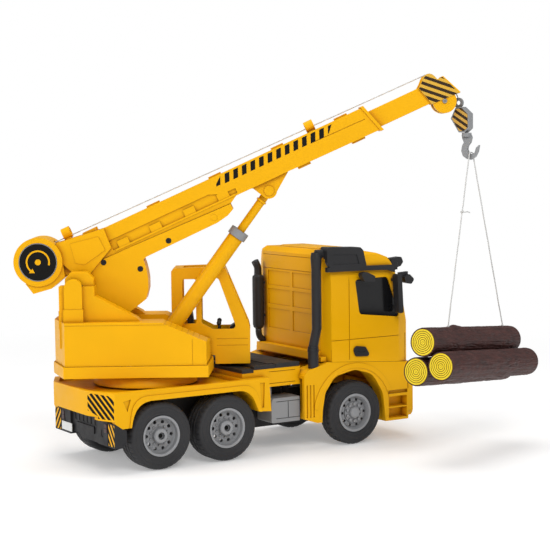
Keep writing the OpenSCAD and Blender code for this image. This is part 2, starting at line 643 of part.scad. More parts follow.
intake_y = -57;
intake_foot_x = 142.6;
intake_x = 146.8;
module intake_pipe() { color(black) ground() translate([0, intake_y, 0]) mirror([0, 1, 0]) {
  // foot, cut to sit on the fender
  difference() {
    rod_z(intake_foot_x, 0, 4.9, 73, 94.6);
    mid_side([[130, 60], [130, 72.9], [134, 73.8], [145, 76.6], [158, 80.3], [158, 60]], 8);
  }
  rod_z(intake_foot_x, 0, 5.3, 90, 92);
  translate([intake_foot_x, 0, 94]) rotate([0, 14, 0]) cylinder(r = 4.3, h = 19);
  rod_z(intake_x, 0, 4.5, 110, 166);
  translate([intake_x, 0, 165.4]) cylinder(r1 = 4.5, r2 = 5.2, h = 10);
  translate([intake_x, 0, 175.4]) cylinder(r1 = 5.2, r2 = 4.4, h = 5);
  // mouth, facing forward
  intersection() {
    rod_x(0, 179, 4.1, intake_x, intake_x + 14);
    mid_box(140, 152.9, 20, 170, 190);
  }
} }
pipe_r = 3.6;
tail_bend = 24;
module exhaust_stack() { color(black) ground() translate(exhaust_at) {
  rotate_extrude() polygon([[0, 81.6], [pipe_r, 81.6], [pipe_r, 99], [5.6, 102], [5.6, 153],
    [pipe_r, 154.6], [pipe_r, 158], [0, 158]]);
  // swept-back tail
  translate([-12, 0, 158]) {
    rotate([90, 0, 0]) rotate_extrude(angle = tail_bend) translate([12, 0]) circle(r = pipe_r);
    rotate([0, -tail_bend, 0]) translate([12, 0, 0]) cylinder(r = pipe_r, h = 5);
  }
  for (z = [112, 144]) mid_box(3.4, 6.1, 3, z, z + 2);
} }

// ---------- crane superstructure ----------
// Plans [x, y] and side views [x, z]
base_plan = [[-80.6, -11], [-67.3, -51.8], [58, -51.8], [61.2, 0], [58, 51.8], [-67.3, 51.8],
  [-80.6, 11]];
base_in_plan = [[-78, -10], [-65.4, -49.4], [55.8, -49.4], [58.8, 0], [55.8, 49.4],
  [-65.4, 49.4], [-78, 10]];
body_plan = [[-79, -10.6], [-66, -50.3], [56.4, -50.3], [58.6, 0], [56.4, 50.3], [-66, 50.3],
  [-79, 10.6]];
body_in_plan = [[-76.6, -9.6], [-64.2, -48], [54, -48], [56, 0], [54, 48], [-64.2, 48],
  [-76.6, 9.6]];
body_side = [[-80, 89.4], [-80, 127.2], [17.6, 126.8], [55.2, 110.4], [60, 108.4], [60, 89.4]];
body_in_side = [[-77, 80], [-77, 124.6], [16.6, 124.4], [54, 108], [54, 80]];
pivot_pin_r = 3;
ram_pin_r = 2.5;

module crane_base() { color(yellow) crane() difference() {
  union() {
    difference() {
      plan(base_plan, 78.9, 89.2);
      plan(base_in_plan, 81.4, 90);
    }
    rod_z(0, 0, spigot_r, 73.1, 80);
  }
  rod_z(0, 0, 20, 70, 90);
} }
// left boom tower
module tower() {
  box(-71.5, -40.6, 22, 38, 104, 158);
  // bevelled bearing cap
  side([[-66.4, 156], [-66.4, 164.4], [-61.2, 170.2], [-46.8, 170.2], [-41.6, 164.4],
    [-41.6, 156]], 22, 34);
  // round-topped pillar on the outside
  side(concat([[-66.4, 124], [-50.8, 124]], arc([-58.6, 157], 7.8, 0, 180, 10)), 36, 43.4);
  box(-67.2, -50, 36, 44, 124, 138.4);
  // brace in front
  side([[-42, 124], [-42, 150.4], [-3.6, 129.6], [0, 126], [0, 120]], 22, 38);
}
module crane_body() { color(yellow) crane() difference() {
  union() {
    intersection() {
      plan(body_plan, 89.35, 130);
      mid_side(body_side, 60);
    }
    both() tower();
    // sill at the rear between the towers
    mid_box(-73, -64, 30, 120, 136);
  }
  // cavity, less the walls of the boom trough and the blocks left standing in it
  difference() {
    intersection() {
      plan(body_in_plan, 80, 124.6);
      mid_side(body_in_side, 60);
    }
    both() {
      box(-80, 60, 19.6, 22.4, 100, 130);
      box(-71.5, -40.6, 22, 38, 100, 128);
      box(15.4, 28.6, 10.2, 13.2, 100, 120.4);
    }
    mid_box(-80, 60, 22, 103.2, 105.6);
    mid_box(-64.6, -62, 22, 100, 130);
  }
  // boom trough
  mid_box(-62, 62, 19.6, 105.6, 140);
  // room for the operator's cab
  box(22.8, 62, 13.4, 53, 80, 130);
  // pin bores
  both() rod_y(pivot_x, pivot_z, pivot_pin_r + run, 15, 40);
  rod_y(ram_x, ram_z, ram_pin_r + run, 8, 14);
  // hollow towers
  both() box(-69, -43, 24.6, 35.4, 80, 148);
  // side grooves and grip lines down the front slope
  both() {
    box(-66, 56, 50, 51, 124.6, 125.1);
    for (i = [0:6])
      translate([20 + i * 4.9, 34, 125.3 - i * 2.15]) rotate([0, 23.6, 0])
        box(0, 0.8, -12, 20, 0.2, 3);
  }
  box(44, 44.7, -52, -50, 90, 112);
} }

// Operator's cab, side views [x, z]
op_side = [[23.4, 89.45], [62.4, 89.45], [62.4, 81.5], [94, 81.5], [94.4, 112], [93.2, 117.4],
  [72.4, 168.4], [69.5, 169.8], [26.4, 168.8], [23.6, 166]];
op_in_side = [[25.6, 91.6], [64.6, 91.6], [64.6, 83.7], [91.8, 83.7], [92.2, 111.6],
  [91.2, 116.4], [71, 166], [68.6, 167.4], [27.4, 166.6], [25.8, 165]];
module operator_cab() { color(yellow) crane() difference() {
  side(op_side, 13.7, 50.2);
  side(op_in_side, 15.7, 48.2);
  // side windows
  side(rounded([[33.6, 118.4, 1.5], [45.6, 118.4, 1.5], [45.6, 158.8, 1.5], [33.6, 158.8, 1.5]]),
    10, 60);
  side(rounded([[50.6, 118.6, 2], [61, 113.2, 2], [82.2, 113.2, 3], [66.2, 159.4, 3],
    [50.6, 159.4, 1.5]]), 10, 60);
  // windscreen, rear window and roof light
  translate([93.2, 0, 117.4]) rotate([0, -22.2, 0]) box(-4, 4, 19, 45, 2, 48);
  box(20, 28, 19, 45, 122, 160);
  box(34, 62, 21, 43, 165, 172);
  // grooves on the lower right panel
  for (z = [98, 104]) box(64, 92, 13, 14.1, z, z + 0.7);
} }
module operator_seat() { color(black) crane() {
  box(40, 60, 24, 40, 91.8, 104);
  side(rounded([[38, 103, 2], [60, 103, 2], [61, 108.4, 2], [44, 109, 2], [41, 134, 2],
    [36.6, 134, 2]]), 23, 41);
  // console in front of the seat
  side([[72, 91], [84, 91], [86, 112], [82, 118], [76, 114]], 24, 40);
  // levers with ball knobs
  for (y = [21, 43]) {
    rod_z(66, y, 1.1, 91.8, 118);
    translate([66, y, 118]) sphere(r = 2.2);
  }
  box(63, 69, 18, 46, 91.7, 94);
} }
module slew_motor() { color(steel) crane() difference() {
  union() {
    rod_z(-slew_c, 0, 8.6, 88, 102.6);
    mid_box(-slew_c - 9, -slew_c + 9, 14, 87.6, 89);
    both() box(-slew_c - 4, -slew_c + 4, 11, 14, 81.5, 88);
  }
  rod_z(-slew_c, 0, motor_shaft_r + run, 80, 103);
} }
module slew_pinion() { color(nylon) crane() {
  rod_z(-slew_c, 0, motor_shaft_r, 81.8, 101);
  translate([-slew_c, 0, slew_gear_z]) linear_extrude(height = gear_w)
    polygon(gear(slew_teeth, slew_mod, 180 / slew_teeth));
} }
module pivot_pins() { color(steel) crane() {
  rod_y(pivot_x, pivot_z, pivot_pin_r, -33.6, 33.6);
  rod_y(ram_x, ram_z, ram_pin_r, -13.1, 13.1);
} }

// ---------- boom ----------
// Side views [along, above the pivot]
upper_side = [[-12, 13], [-12, 40], [38.8, 36.6], [290, 36.6], [297.6, 12.4], [230, 12.9],
  [208, 13.3], [157, 13.3], [150, 9.2], [52, 11.8], [30, 12]];
lower_side = [[9, 12], [52, 11.6], [149.2, 8.9], [149.4, 3.6], [143, 0.6], [132, -1.4],
  [62, -2.2], [58.7, -3.4], [58.3, -8], [57, -15], [55.3, -20.8], [51.6, -29], [46, -36],
  [26.8, -40.7], [14, -24.6], [6.4, -14.4], [-6, -6], [-8, 4]];
lower_in_side = [[-4, 12], [56, 9.6], [146.6, 7], [146.6, 4.6], [142, 2.9], [131.4, 0.8],
  [60, 0], [56.4, -2], [55.8, -9], [53, -20], [44.6, -33.8], [27.8, -38], [14.6, -21],
  [3, -10], [-4, -4]];
rear_panel = [[-4.8, 42.2], [38.8, 36.4], [37.8, 18.2], [11.2, 5.4], [-3.3, 14], [-9, 28]];
screws = [[25.8, 9.2], [52.8, -9.6], [86, 2.4], [131, 4]];
seam = 0.04;              // each half stops this far from the middle plane
screw_bore_r = 1.35;
head_pin_r = 1.6;
rope_r = 0.35;

// left half
module boom_half() { difference() {
  union() {
    side(upper_side, seam, boom_hw);
    side(lower_side, seam, 14.2);
    // pivot lug and its boss against the tower
    rod_y(0, 0, 12, seam, 17);
    rod_y(0, 0, 8, 16, 21.6);
    // rear side panel with its embossed field
    side(rear_panel, 12, 16.4);
    side([[6.4, 36.4], [31.6, 31.8], [31.9, 18.6], [10, 14.6], [3.6, 19.1]], 16, 17);
    // winch housing and the box below it
    rod_y(drum[0], drum[1], 21.5, seam, 20);
    side([[-44, 21], [-41.6, 10.2], [-25, 7.7], [-10, 12], [-6, 26], [-26, 36]], seam, 18.6);
    // strip above the lower shell
    side([[40, 13.6], [157, 13.6], [157, 15.2], [40, 15.4]], 12, 13.6);
    // rope fairleads
    difference() {
      union() {
        rod_x(0, 46.4, 5.2, 2, 9.8);
        box(3.4, 8.4, seam, 3, 38, 42);
      }
      box(0, 12, -8, seam, 30, 60);
    }
    difference() {
      union() {
        rod_x(0, 41.4, 5, 237.4, 245.4);
        box(239, 244, seam, 3, 35, 38);
      }
      box(230, 250, -8, seam, 30, 60);
    }
    // tabs along the top and the bottom
    for (x = [80.7, 141, 202, 264]) box(x, x + 11.6, 4, 8.6, 36, 38.2);
    box(19.6, 31.6, 6, 11, 36.4, 40.6);
    for (x = [217, 270]) box(x, x + 11.8, 4, 9, 10.9, 14);
    // collar at the boom mouth
    side([[288.4, 37.8], [291.2, 37.8], [299.4, 11], [296.6, 11]], seam, boom_hw + 1);
    // cheek for the ram head
    side(concat([[170, 14], [173, 12.6]], arc(ram_top, 7.2, 200, 330, 8),
      [[208, 13.4], [208, 14]]), 5.2, 8.4);
    rod_y(ram_top[0], ram_top[1], 4.4, 8, 9.4);
  }
  // side channel with square clips left standing
  difference() {
    side([[38, 15.3], [38, 24.6], [135, 24.4], [146, 19.8], [159, 19.6], [159, 15.2]], 11.6, 15);
    for (x = [75.5, 108.4, 141]) box(x, x + 10.6, 11, 13, 14, 21.2);
  }
  // hollow for the inner boom
  box(60, 310, -1, 9.3, 14.2, 31.6);
  box(60, 284, -1, 9.3, 31, 34.4);
  side(lower_in_side, -1, 11.8);
  box(30, 61, -1, 9.3, 8, 31);
  // winch chamber, its shaft bore and the rope slot
  rod_y(drum[0], drum[1], 18.4, -1, 14.6);
  rod_y(drum[0], drum[1], shaft_r + run, -1, 18.4);
  box(-24, 2, -1, 5, 41.6, 45);
  // round recess in the housing end
  rod_y(drum[0], drum[1], 17, 19.3, 21);
  rod_y(0, 0, pivot_pin_r + run, -1, 30);
  // fairlead bores
  rod_x(0, 46.4, 3.7, 0, 12);
  rod_x(0, 41.4, 3.5, 230, 250);
  // engraved line near the mouth
  side([[236, 27.6], [288, 26.8], [288, 26.2], [236, 27]], boom_hw - 0.5, 16);
} }
module boom_shell_left() { color(yellow) boom() difference() {
  boom_half();
  for (p = screws) rod_y(p[0], p[1], screw_bore_r, -1, 9);
} }
module boom_shell_right() { color(yellow) boom() difference() {
  mirror([0, 1, 0]) boom_half();
  for (p = screws) {
    rod_y(p[0], p[1], 2.6, -18, -12.4);
    rod_y(p[0], p[1], screw_bore_r, -18, 1);
  }
} }
module boom_screws() { color(dark) boom() for (p = screws) difference() {
  union() {
    rod_y(p[0], p[1], 2.4, -13.9, -12.45);
    rod_y(p[0], p[1], 1.3, -13, 8.6);
  }
  // cross slot
  for (half = [[1.6, 0.3], [0.3, 1.6]])
    box(p[0] - half[0], p[0] + half[0], -15, -13.2, p[1] - half[1], p[1] + half[1]);
} }
module winch_drum() { color(dark) boom() {
  rod_y(drum[0], drum[1], shaft_r, -18.2, 18.2);
  rod_y(drum[0], drum[1], 8.4, -13, 13);
  for (y = [-13.6, 12]) rod_y(drum[0], drum[1], 16.4, y, y + 1.6);
} }
module boom_rope() {
  color(cord) boom() translate([drum[0] + 2, 0, drum[1] + 9.7]) rotate([0, 90.57, 0])
    cylinder(r = rope_r, h = 372, $fn = 16);
}
module inner_boom() { color(yellow) boom() difference() {
  union() {
    mid_side([[192, 14.5], [350, 14.5], [344, 31.2], [192, 31.2]], 9.1);
    // cheeks of the boom head
    both() side([[341.8, 31], [343.4, 33], [346.2, 36.4], [350, 39.2], [354.6, 39.8],
      [358.4, 37.4], [360.4, 33.4], [366.4, 33.6], [374.2, 13.2], [349.4, 14.4]], 7.6, 11.2);
    mid_side([[365.6, 35.4], [367.2, 35.8], [376, 12.6], [374.4, 12]], 11.2);
    both() rod_y(head[0], head[1], 10.6, 5.2, 11.6);
    mid_box(340, 352, 9, 16, 36);
    both() rod_y(head[0], head[1], 2.6, 3.4, 8);
  }
  mid_side([[190, 16.4], [337, 16.4], [337, 29.4], [190, 29.4]], 7.2);
  // sheave slot
  rod_y(head[0], head[1], 12.6, -3.3, 3.3);
  mid_box(356, 380, 3.3, 0, 60);
  mid_box(350.9, 372, 7.5, 16, 50);
  mid_box(338, 356, 2, 35, 50);
  rod_y(head[0], head[1], head_pin_r + run, -20, 20);
  both() rod_y(head[0], head[1], 2.4, 11, 14);
} }
module head_sheave() { color(grey) boom() {
  translate([head[0], 0, head[1]]) rotate([90, 0, 0]) rotate_extrude($fn = 96)
    polygon([[0.01, -3], [9, -3], [9, -2.2], [7.7, -0.6], [7.7, 0.6], [9, 2.2], [9, 3],
      [0.01, 3]]);
  rod_y(head[0], head[1], head_pin_r, -11.4, 11.4);
} }
module rope_falls() {
  color(cord) crane()
    rod_z(sheave[0] + hook_ahead - 0.6, 0, rope_r, sheave[1] + 4.4, sheave[1] + 8);
}

// ---------- hook and load ----------
swivel_x = 7;
swivel_r = 1.6;
// Side view [x, z] of the hook, down its back and up inside the bowl
hook_side = [[3, -30], [3.6, -33], [5, -36.5], [3.4, -39.5], [2.6, -44], [4.2, -48.6],
  [7.8, -51.2], [11.6, -51.9], [15.8, -49.4], [18.3, -44.6], [19.3, -39], [16.6, -41.3],
  [15.3, -45.4], [12.9, -47.4], [9.8, -46.2], [8.2, -42.6], [9, -39.4], [11.3, -36.6],
  [12.3, -32.4], [11.6, -30]];
module hook_block() { color(grey) hook_frame() difference() {
  union() {
    // eye, neck and body
    translate([-0.4, 1.3, -1.4]) rotate([90, 0, 0]) difference() {
      cylinder(r = 4.5, h = 2.6);
      translate([0, 0, -1]) cylinder(r = 2, h = 5);
    }
    mid_box(-2, 2.4, 1.3, -8, -5.4);
    mid_side([[-6, -15.2], [-1.3, -5.8], [4.6, -5], [11.2, -11.2], [11.2, -24.1], [7.2, -27.6],
      [1.7, -27.7]], 5.2);
  }
  rod_z(swivel_x, 0, swivel_r + run, -30, -20.8);
} }
module hook() { color(grey) hook_frame() {
  rod_z(swivel_x, 0, swivel_r, -31, -21.2);
  rod_z(7.2, 0, 4.3, -31.6, -28);
  mid_side(hook_side, 1.8);
} }

// bearing point in the hook, in the crane frame and then in the tilted frame of the bundle
bearing = [sheave[0] + hook_ahead + bowl_x * cos(hook_yaw), bowl_x * sin(hook_yaw),
  sheave[1] - 46.4];
bearing_rise = bearing[2] - bundle_z;
sling_top = [sin(-log_tilt) * bearing_rise, 0, bundle_z + cos(log_tilt) * bearing_rise];
// the three logs: across, height above ground, shift along the bundle
log_at = [[11, 75.5, -4], [4, 101.5, -2], [-15, 82.1, 3]];
log_wall = 1.5;
module load() {
  crane() translate([bearing[0], bearing[1], bundle_z]) rotate([0, 0, log_yaw - crane_yaw])
    rotate([0, log_tilt, 0]) translate([0, 0, -bundle_z]) children();
}
module strand(from, to, r) {
  d = to - from;
  translate(from) rotate([0, 90 - atan2(d[2], norm([d[0], d[1]])), atan2(d[1], d[0])])
    cylinder(r = r, h = norm(d), $fn = 16);
}
module load_sling() { color("#d7d4cc") load() {
  top_log = log_at[1];
  for (x = [-36, 46]) {
    strand(sling_top + [x < 0 ? -2.7 : 2.7, 0, 0.6],
      [x, top_log[0], top_log[1] + log_r + 0.6], 0.5);
    translate([x, top_log[0], top_log[1] + log_r + 0.12]) cylinder(r = 1.3, h = 1.4);
  }
  translate(sling_top) mid_box(-3.1, 3.1, 0.55, 0.35, 1.35);
} }
module hollow_log(at) {
  translate([at[2] - log_l / 2, at[0], at[1]]) rotate([0, 90, 0]) difference() {
    cylinder(r = log_r, h = log_l);
    translate([0, 0, log_wall]) cylinder(r = log_r - log_wall, h = log_l - 2 * log_wall);
  }
}
module logs() { color("#4a2a24") load() {
  for (at = log_at) hollow_log(at);
  // moulded webs that hold the bundle together
  for (k = [0:2]) let (a = log_at[k], b = log_at[(k + 1) % 3])
    translate([0, (a[0] + b[0]) / 2, (a[1] + b[1]) / 2])
      rotate([atan2(b[1] - a[1], b[0] - a[0]), 0, 0]) box(-60, 60, -1.1, 1.1, -2.5, 2.5);
} }

// ---------- dummy ram ----------
barrel_r = 7;
barrel_l = 103;
ram_bore_r = 3.9;
module ram_barrel() { color(yellow) ram() difference() {
  union() {
    cylinder(r = barrel_r, h = barrel_l);
    rotate([90, 0, 0]) cylinder(r = barrel_r, h = 18, center = true);
  }
  translate([0, 0, 42]) cylinder(r = ram_bore_r, h = 70);
  // trims the foot to its width
  translate([0, 0, -8]) difference() {
    mid_box(-12, 12, 12, 0, 15.4);
    mid_box(-12, 12, 9, -1, 16);
  }
  rotate([90, 0, 0]) cylinder(r = ram_pin_r + run, h = 40, center = true);
} }
module ram_collar() { color(grey) ram() difference() {
  translate([0, 0, barrel_l + 0.05]) cylinder(r = 8.6, h = 7.2);
  translate([0, 0, 100]) cylinder(r = ram_bore_r, h = 14);
} }
module ram_rod() { color(yellow) ram() {
  translate([0, 0, 58]) cylinder(r = 3.8, h = ram_len - 58 - 2);
  translate([0, 0, ram_len - 12.4]) cylinder(r = 4.7, h = 1.8);
  translate([0, 0, ram_len - 1]) rotate([90, 0, 0]) cylinder(r = 3.8, h = 7.6, center = true);
} }

chassis_tray();
battery_cover();
battery_pack();
receiver_board();
drive_motor();
drive_pinion();
steering_servo();
servo_horn();
tie_rod();
front_axle_beam();
steering_knuckle_left();
steering_knuckle_right();
front_rim_left();
front_rim_right();
front_tyre_left();
front_tyre_right();
rear_axle1_shaft();
rear_axle1_gear();
rear_axle1_rims();
rear_axle1_tyres();
rear_axle2_shaft();
rear_axle2_rims();
rear_axle2_tyres();
rear_deck();
rear_bumper();
tread_mats();
side_boxes();
turntable_ring();
cab_shell();
cab_fenders();
cab_windows();
front_grille();
side_fairing();
sun_visor();
mirrors();
door_handles();
intake_pipe();
exhaust_stack();
crane_base();
crane_body();
operator_cab();
operator_seat();
slew_motor();
slew_pinion();
pivot_pins();
boom_shell_right();
boom_shell_left();
boom_screws();
winch_drum();
boom_rope();
inner_boom();
head_sheave();
rope_falls();
hook_block();
hook();
load_sling();
logs();
ram_barrel();
ram_collar();
ram_rod();
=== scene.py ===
"""Toy crane truck with a raised boom lifting three logs on a sling.

The truck points along +X with its left side at +Y. Lengths are in mm, heights are above the
ground, and the row frame is in metres with its origin BASE above the ground.
"""
import json
import math
import random

import bmesh
import bpy
from mathutils import Matrix, Vector, noise


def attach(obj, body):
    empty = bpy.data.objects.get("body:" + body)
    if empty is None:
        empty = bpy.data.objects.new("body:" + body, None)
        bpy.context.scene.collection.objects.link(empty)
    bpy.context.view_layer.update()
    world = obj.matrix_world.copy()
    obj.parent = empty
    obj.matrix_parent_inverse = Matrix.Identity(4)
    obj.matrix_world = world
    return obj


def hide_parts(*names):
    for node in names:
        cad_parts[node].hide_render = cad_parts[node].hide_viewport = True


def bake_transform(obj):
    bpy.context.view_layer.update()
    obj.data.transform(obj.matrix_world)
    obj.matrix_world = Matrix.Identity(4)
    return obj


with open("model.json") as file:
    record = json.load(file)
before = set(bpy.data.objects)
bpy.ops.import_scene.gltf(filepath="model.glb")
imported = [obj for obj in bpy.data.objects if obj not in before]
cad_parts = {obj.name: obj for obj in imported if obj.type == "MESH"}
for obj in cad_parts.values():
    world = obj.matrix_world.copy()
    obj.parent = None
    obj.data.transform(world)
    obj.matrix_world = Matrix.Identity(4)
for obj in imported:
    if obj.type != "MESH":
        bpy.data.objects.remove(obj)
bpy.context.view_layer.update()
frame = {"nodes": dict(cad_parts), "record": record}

random.seed(7)  # nothing below draws from it; it fixes any draw added later

MM = 0.001
BASE = 20.0  # height of the row frame's origin above the ground
SIDES = ((-1, "right"), (1, "left"))

# Crane and boom
CRANE_YAW = math.radians(-31.0)
BOOM_RISE = math.radians(24.2)
PIVOT_ALONG, PIVOT_Z = -54.0, 158.0  # boom pivot in crane coordinates

# Head sheave axis: in boom coordinates, then in crane coordinates
SHEAVE = (358.7, 11.2)
SHEAVE_ALONG = PIVOT_ALONG + SHEAVE[0] * math.cos(BOOM_RISE) - SHEAVE[1] * math.sin(BOOM_RISE)
SHEAVE_Z = PIVOT_Z + SHEAVE[0] * math.sin(BOOM_RISE) + SHEAVE[1] * math.cos(BOOM_RISE)

# Hook block and load
HOOK_AHEAD = 14  # hook block's axis ahead of the sheave axis
HOOK_YAW = math.radians(-30)  # hook block against the crane
BOWL_X = 11.3  # hook bowl across the hook block
BOWL_DROP = 46.4  # hook bowl below the sheave axis
LOAD_YAW = math.radians(20.5)
LOAD_TILT = math.radians(4.9)
LOAD_Z = 86  # height of the point the load tilts about


# ------------------------------------------------------------------ frames
def on_truck(x, y, z):
    """Truck coordinates to the row frame."""
    return Vector((x, y, z - BASE)) * MM


def on_crane(along, left, z):
    """Crane coordinates: turned about the turntable axis."""
    c, s = math.cos(CRANE_YAW), math.sin(CRANE_YAW)
    return on_truck(along * c - left * s, along * s + left * c, z)


def on_boom(along, left, above):
    """Boom coordinates: along the boom from its pivot, left, and square to both."""
    c, s = math.cos(BOOM_RISE), math.sin(BOOM_RISE)
    return on_crane(PIVOT_ALONG + along * c - above * s, left, PIVOT_Z + along * s + above * c)


def on_hook(x, y, z):
    """Hook block coordinates: across, left, and up from the sheave axis."""
    c, s = math.cos(HOOK_YAW), math.sin(HOOK_YAW)
    return on_crane(SHEAVE_ALONG + HOOK_AHEAD + x * c - y * s, x * s + y * c, SHEAVE_Z + z)


BOWL = on_hook(BOWL_X, 0, 0)


def on_load(x, y, z):
    """Load coordinates: along the logs from below the hook bowl, left, and up before tilting."""
    ct, st = math.cos(LOAD_TILT), math.sin(LOAD_TILT)
    x, z = x * ct + (z - LOAD_Z) * st, LOAD_Z - x * st + (z - LOAD_Z) * ct
    c, s = math.cos(LOAD_YAW), math.sin(LOAD_YAW)
    return Vector((BOWL.x + (x * c - y * s) * MM, BOWL.y + (x * s + y * c) * MM, (z - BASE) * MM))


def off_sheave(along, up):
    """A point in the boom's middle plane, measured from the sheave axis."""
    return on_crane(SHEAVE_ALONG + along, 0, SHEAVE_Z + up)


def side_face(coords, side=1, offset=0.0):
    """Placer (x, z, depth) for a plane facing sideways, offset from the middle plane."""
    return lambda x, z, depth: coords(x, side * (offset + depth), z)


def polar(radius, angle, centre=(0, 0)):
    return centre[0] + radius * math.cos(angle), centre[1] + radius * math.sin(angle)


# ------------------------------------------------------------ shader helpers
def node(tree, kind, inputs=None, **settings):
    """New shader node; each input is given a value or the socket that feeds it."""
    made = tree.nodes.new("ShaderNode" + kind)
    for key, value in settings.items():
        setattr(made, key, value)
    for key, value in (inputs or {}).items():
        feed(tree, made.inputs[key], value)
    return made


def feed(tree, socket, value):
    if isinstance(value, bpy.types.NodeSocket):
        tree.links.new(value, socket)
    else:
        socket.default_value = value


def feed_all(tree, made, inputs):
    for key, value in inputs.items():
        feed(tree, made.inputs[key], value)


def new_material(name):
    """Material with a Principled shader; returns it, its tree, shader and object coordinates."""
    material = bpy.data.materials.new(name)
    material.use_nodes = True
    tree = material.node_tree
    tree.nodes.clear()
    output = node(tree, "OutputMaterial")
    shader = node(tree, "BsdfPrincipled")
    tree.links.new(shader.outputs[0], output.inputs[0])
    return material, tree, shader, node(tree, "TexCoord").outputs["Object"]


def noise_texture(tree, coords, scale, detail=3.0, roughness=0.5):
    inputs = {"Vector": coords, "Scale": scale, "Detail": detail, "Roughness": roughness}
    return node(tree, "TexNoise", inputs).outputs["Fac"]


def colour_ramp(tree, factor, stops):
    """stops are (position, colour), first to last."""
    ramp = node(tree, "ValToRGB", {"Fac": factor})
    elements = ramp.color_ramp.elements
    for element, (position, colour) in ((elements[0], stops[0]), (elements[1], stops[-1])):
        element.position = position
        element.color = (*colour, 1)
    for position, colour in stops[1:-1]:
        elements.new(position).color = (*colour, 1)
    return ramp.outputs[0]


def remap(tree, value, to_min, to_max, from_min=0.3, from_max=0.7):
    return node(tree, "MapRange", {
        "Value": value, "From Min": from_min, "From Max": from_max,
        "To Min": to_min, "To Max": to_max,
    }).outputs["Result"]


def bump(tree, shader, height, strength, distance):
    inputs = {"Strength": strength, "Distance": distance, "Height": height}
    tree.links.new(node(tree, "Bump", inputs).outputs[0], shader.inputs["Normal"])


def paint_crease_shade(tree, colour, crease_shade, reach, shut, open_):
    """Painted shade: fade colour to the crease colour where the ambient occlusion drops from
    open_ to shut.
    """
    occlusion = node(tree, "AmbientOcclusion", {"Distance": reach}, samples=6)
    factor = remap(tree, occlusion.outputs["AO"], 0.0, 1.0, from_min=shut, from_max=open_)
    inputs = {"Fac": factor, "Color1": (*crease_shade, 1), "Color2": colour}
    return node(tree, "MixRGB", inputs).outputs[0]


# --------------------------------------------------------------- materials
# key: (material name, colour, roughness, colour drift, grain strength, grain scale, specular,
#       further named arguments of moulded)
# The crease colours are painted shade, laid into creases and recesses by ambient occlusion.
FINISHES = {
    "yellow": ("yellow_plastic", (0.82, 0.41, 0.001), 0.42, 0.03, 0.1, 2200, 0.14,
               {"crease_shade": (0.36, 0.13, 0.001), "reach": 0.005}),
    "black": ("black_plastic", (0.02, 0.02, 0.022), 0.42, 0.15, 0.35, 2600, 0.3, {}),
    "mat": ("mat_black", (0.02, 0.02, 0.021), 0.6, 0.2, 0.6, 3200, 0.35, {}),
    "dark": ("chassis_black", (0.022, 0.022, 0.024), 0.55, 0.15, 0.3, 2400, 0.25, {}),
    "grey": ("grey_plastic", (0.25, 0.255, 0.262), 0.42, 0.06, 0.25, 2600, 0.4,
             {"crease_shade": (0.05, 0.05, 0.052), "reach": 0.005}),
    "rim": ("rim_grey", (0.27, 0.275, 0.285), 0.36, 0.06, 0.2, 2600, 0.45,
            {"crease_shade": (0.03, 0.03, 0.032), "reach": 0.007}),
    "steel": ("turned_steel", (0.5, 0.5, 0.52), 0.28, 0.06, 0.2, 4000, 0.5, {"metal": 1.0}),
    "nylon": ("nylon", (0.74, 0.73, 0.68), 0.5, 0.04, 0.1, 2000, 0.4, {"subsurface": 0.1}),
    "cells": ("cell_wrap", (0.03, 0.09, 0.33), 0.3, 0.08, 0.05, 1500, 0.5, {"coat": 0.3}),
    "board": ("board_green", (0.015, 0.13, 0.05), 0.4, 0.25, 0.2, 1800, 0.5, {}),
    "glass": ("dark_glazing", (0.006, 0.0062, 0.007), 0.16, 0.1, 0.02, 900, 0.25, {"coat": 0.1}),
    "tyre": ("tyre_rubber", (0.027, 0.027, 0.029), 0.6, 0.12, 0.7, 1900, 0.3, {}),
    "ink": ("printed_black", (0.007, 0.0068, 0.006), 0.6, 0.2, 0.1, 2200, 0.12, {}),
    # spare finishes: lamp, amber and chrome
    "lamp": ("lamp_clear", (0.62, 0.64, 0.66), 0.14, 0.05, 0.1, 700, 0.6, {"coat": 0.5}),
    "amber": ("lamp_amber", (0.75, 0.2, 0.01), 0.2, 0.08, 0.2, 700, 0.6, {"coat": 0.5}),
    "chrome": ("bright_metal", (0.72, 0.73, 0.74), 0.16, 0.03, 0.05, 900, 0.5, {"metal": 1.0}),
    "red": ("lamp_red", (0.035, 0.006, 0.006), 0.3, 0.08, 0.2, 700, 0.3, {}),
    "white": ("blank_plate", (0.72, 0.73, 0.72), 0.45, 0.04, 0.2, 1800, 0.4, {}),
    "film": ("printed_yellow", (0.64, 0.37, 0.04), 0.45, 0.04, 0.1, 1800, 0.2, {}),
    "film_dark": ("printed_brown", (0.03, 0.015, 0.005), 0.45, 0.08, 0.1, 1800, 0.2, {}),
    "film_block": ("printed_yellow_dull", (0.54, 0.31, 0.055), 0.45, 0.05, 0.1, 1800, 0.2, {}),
    "groove": ("ring_groove", (0.2, 0.095, 0.004), 0.5, 0.15, 0.3, 1500, 0.15, {}),
}


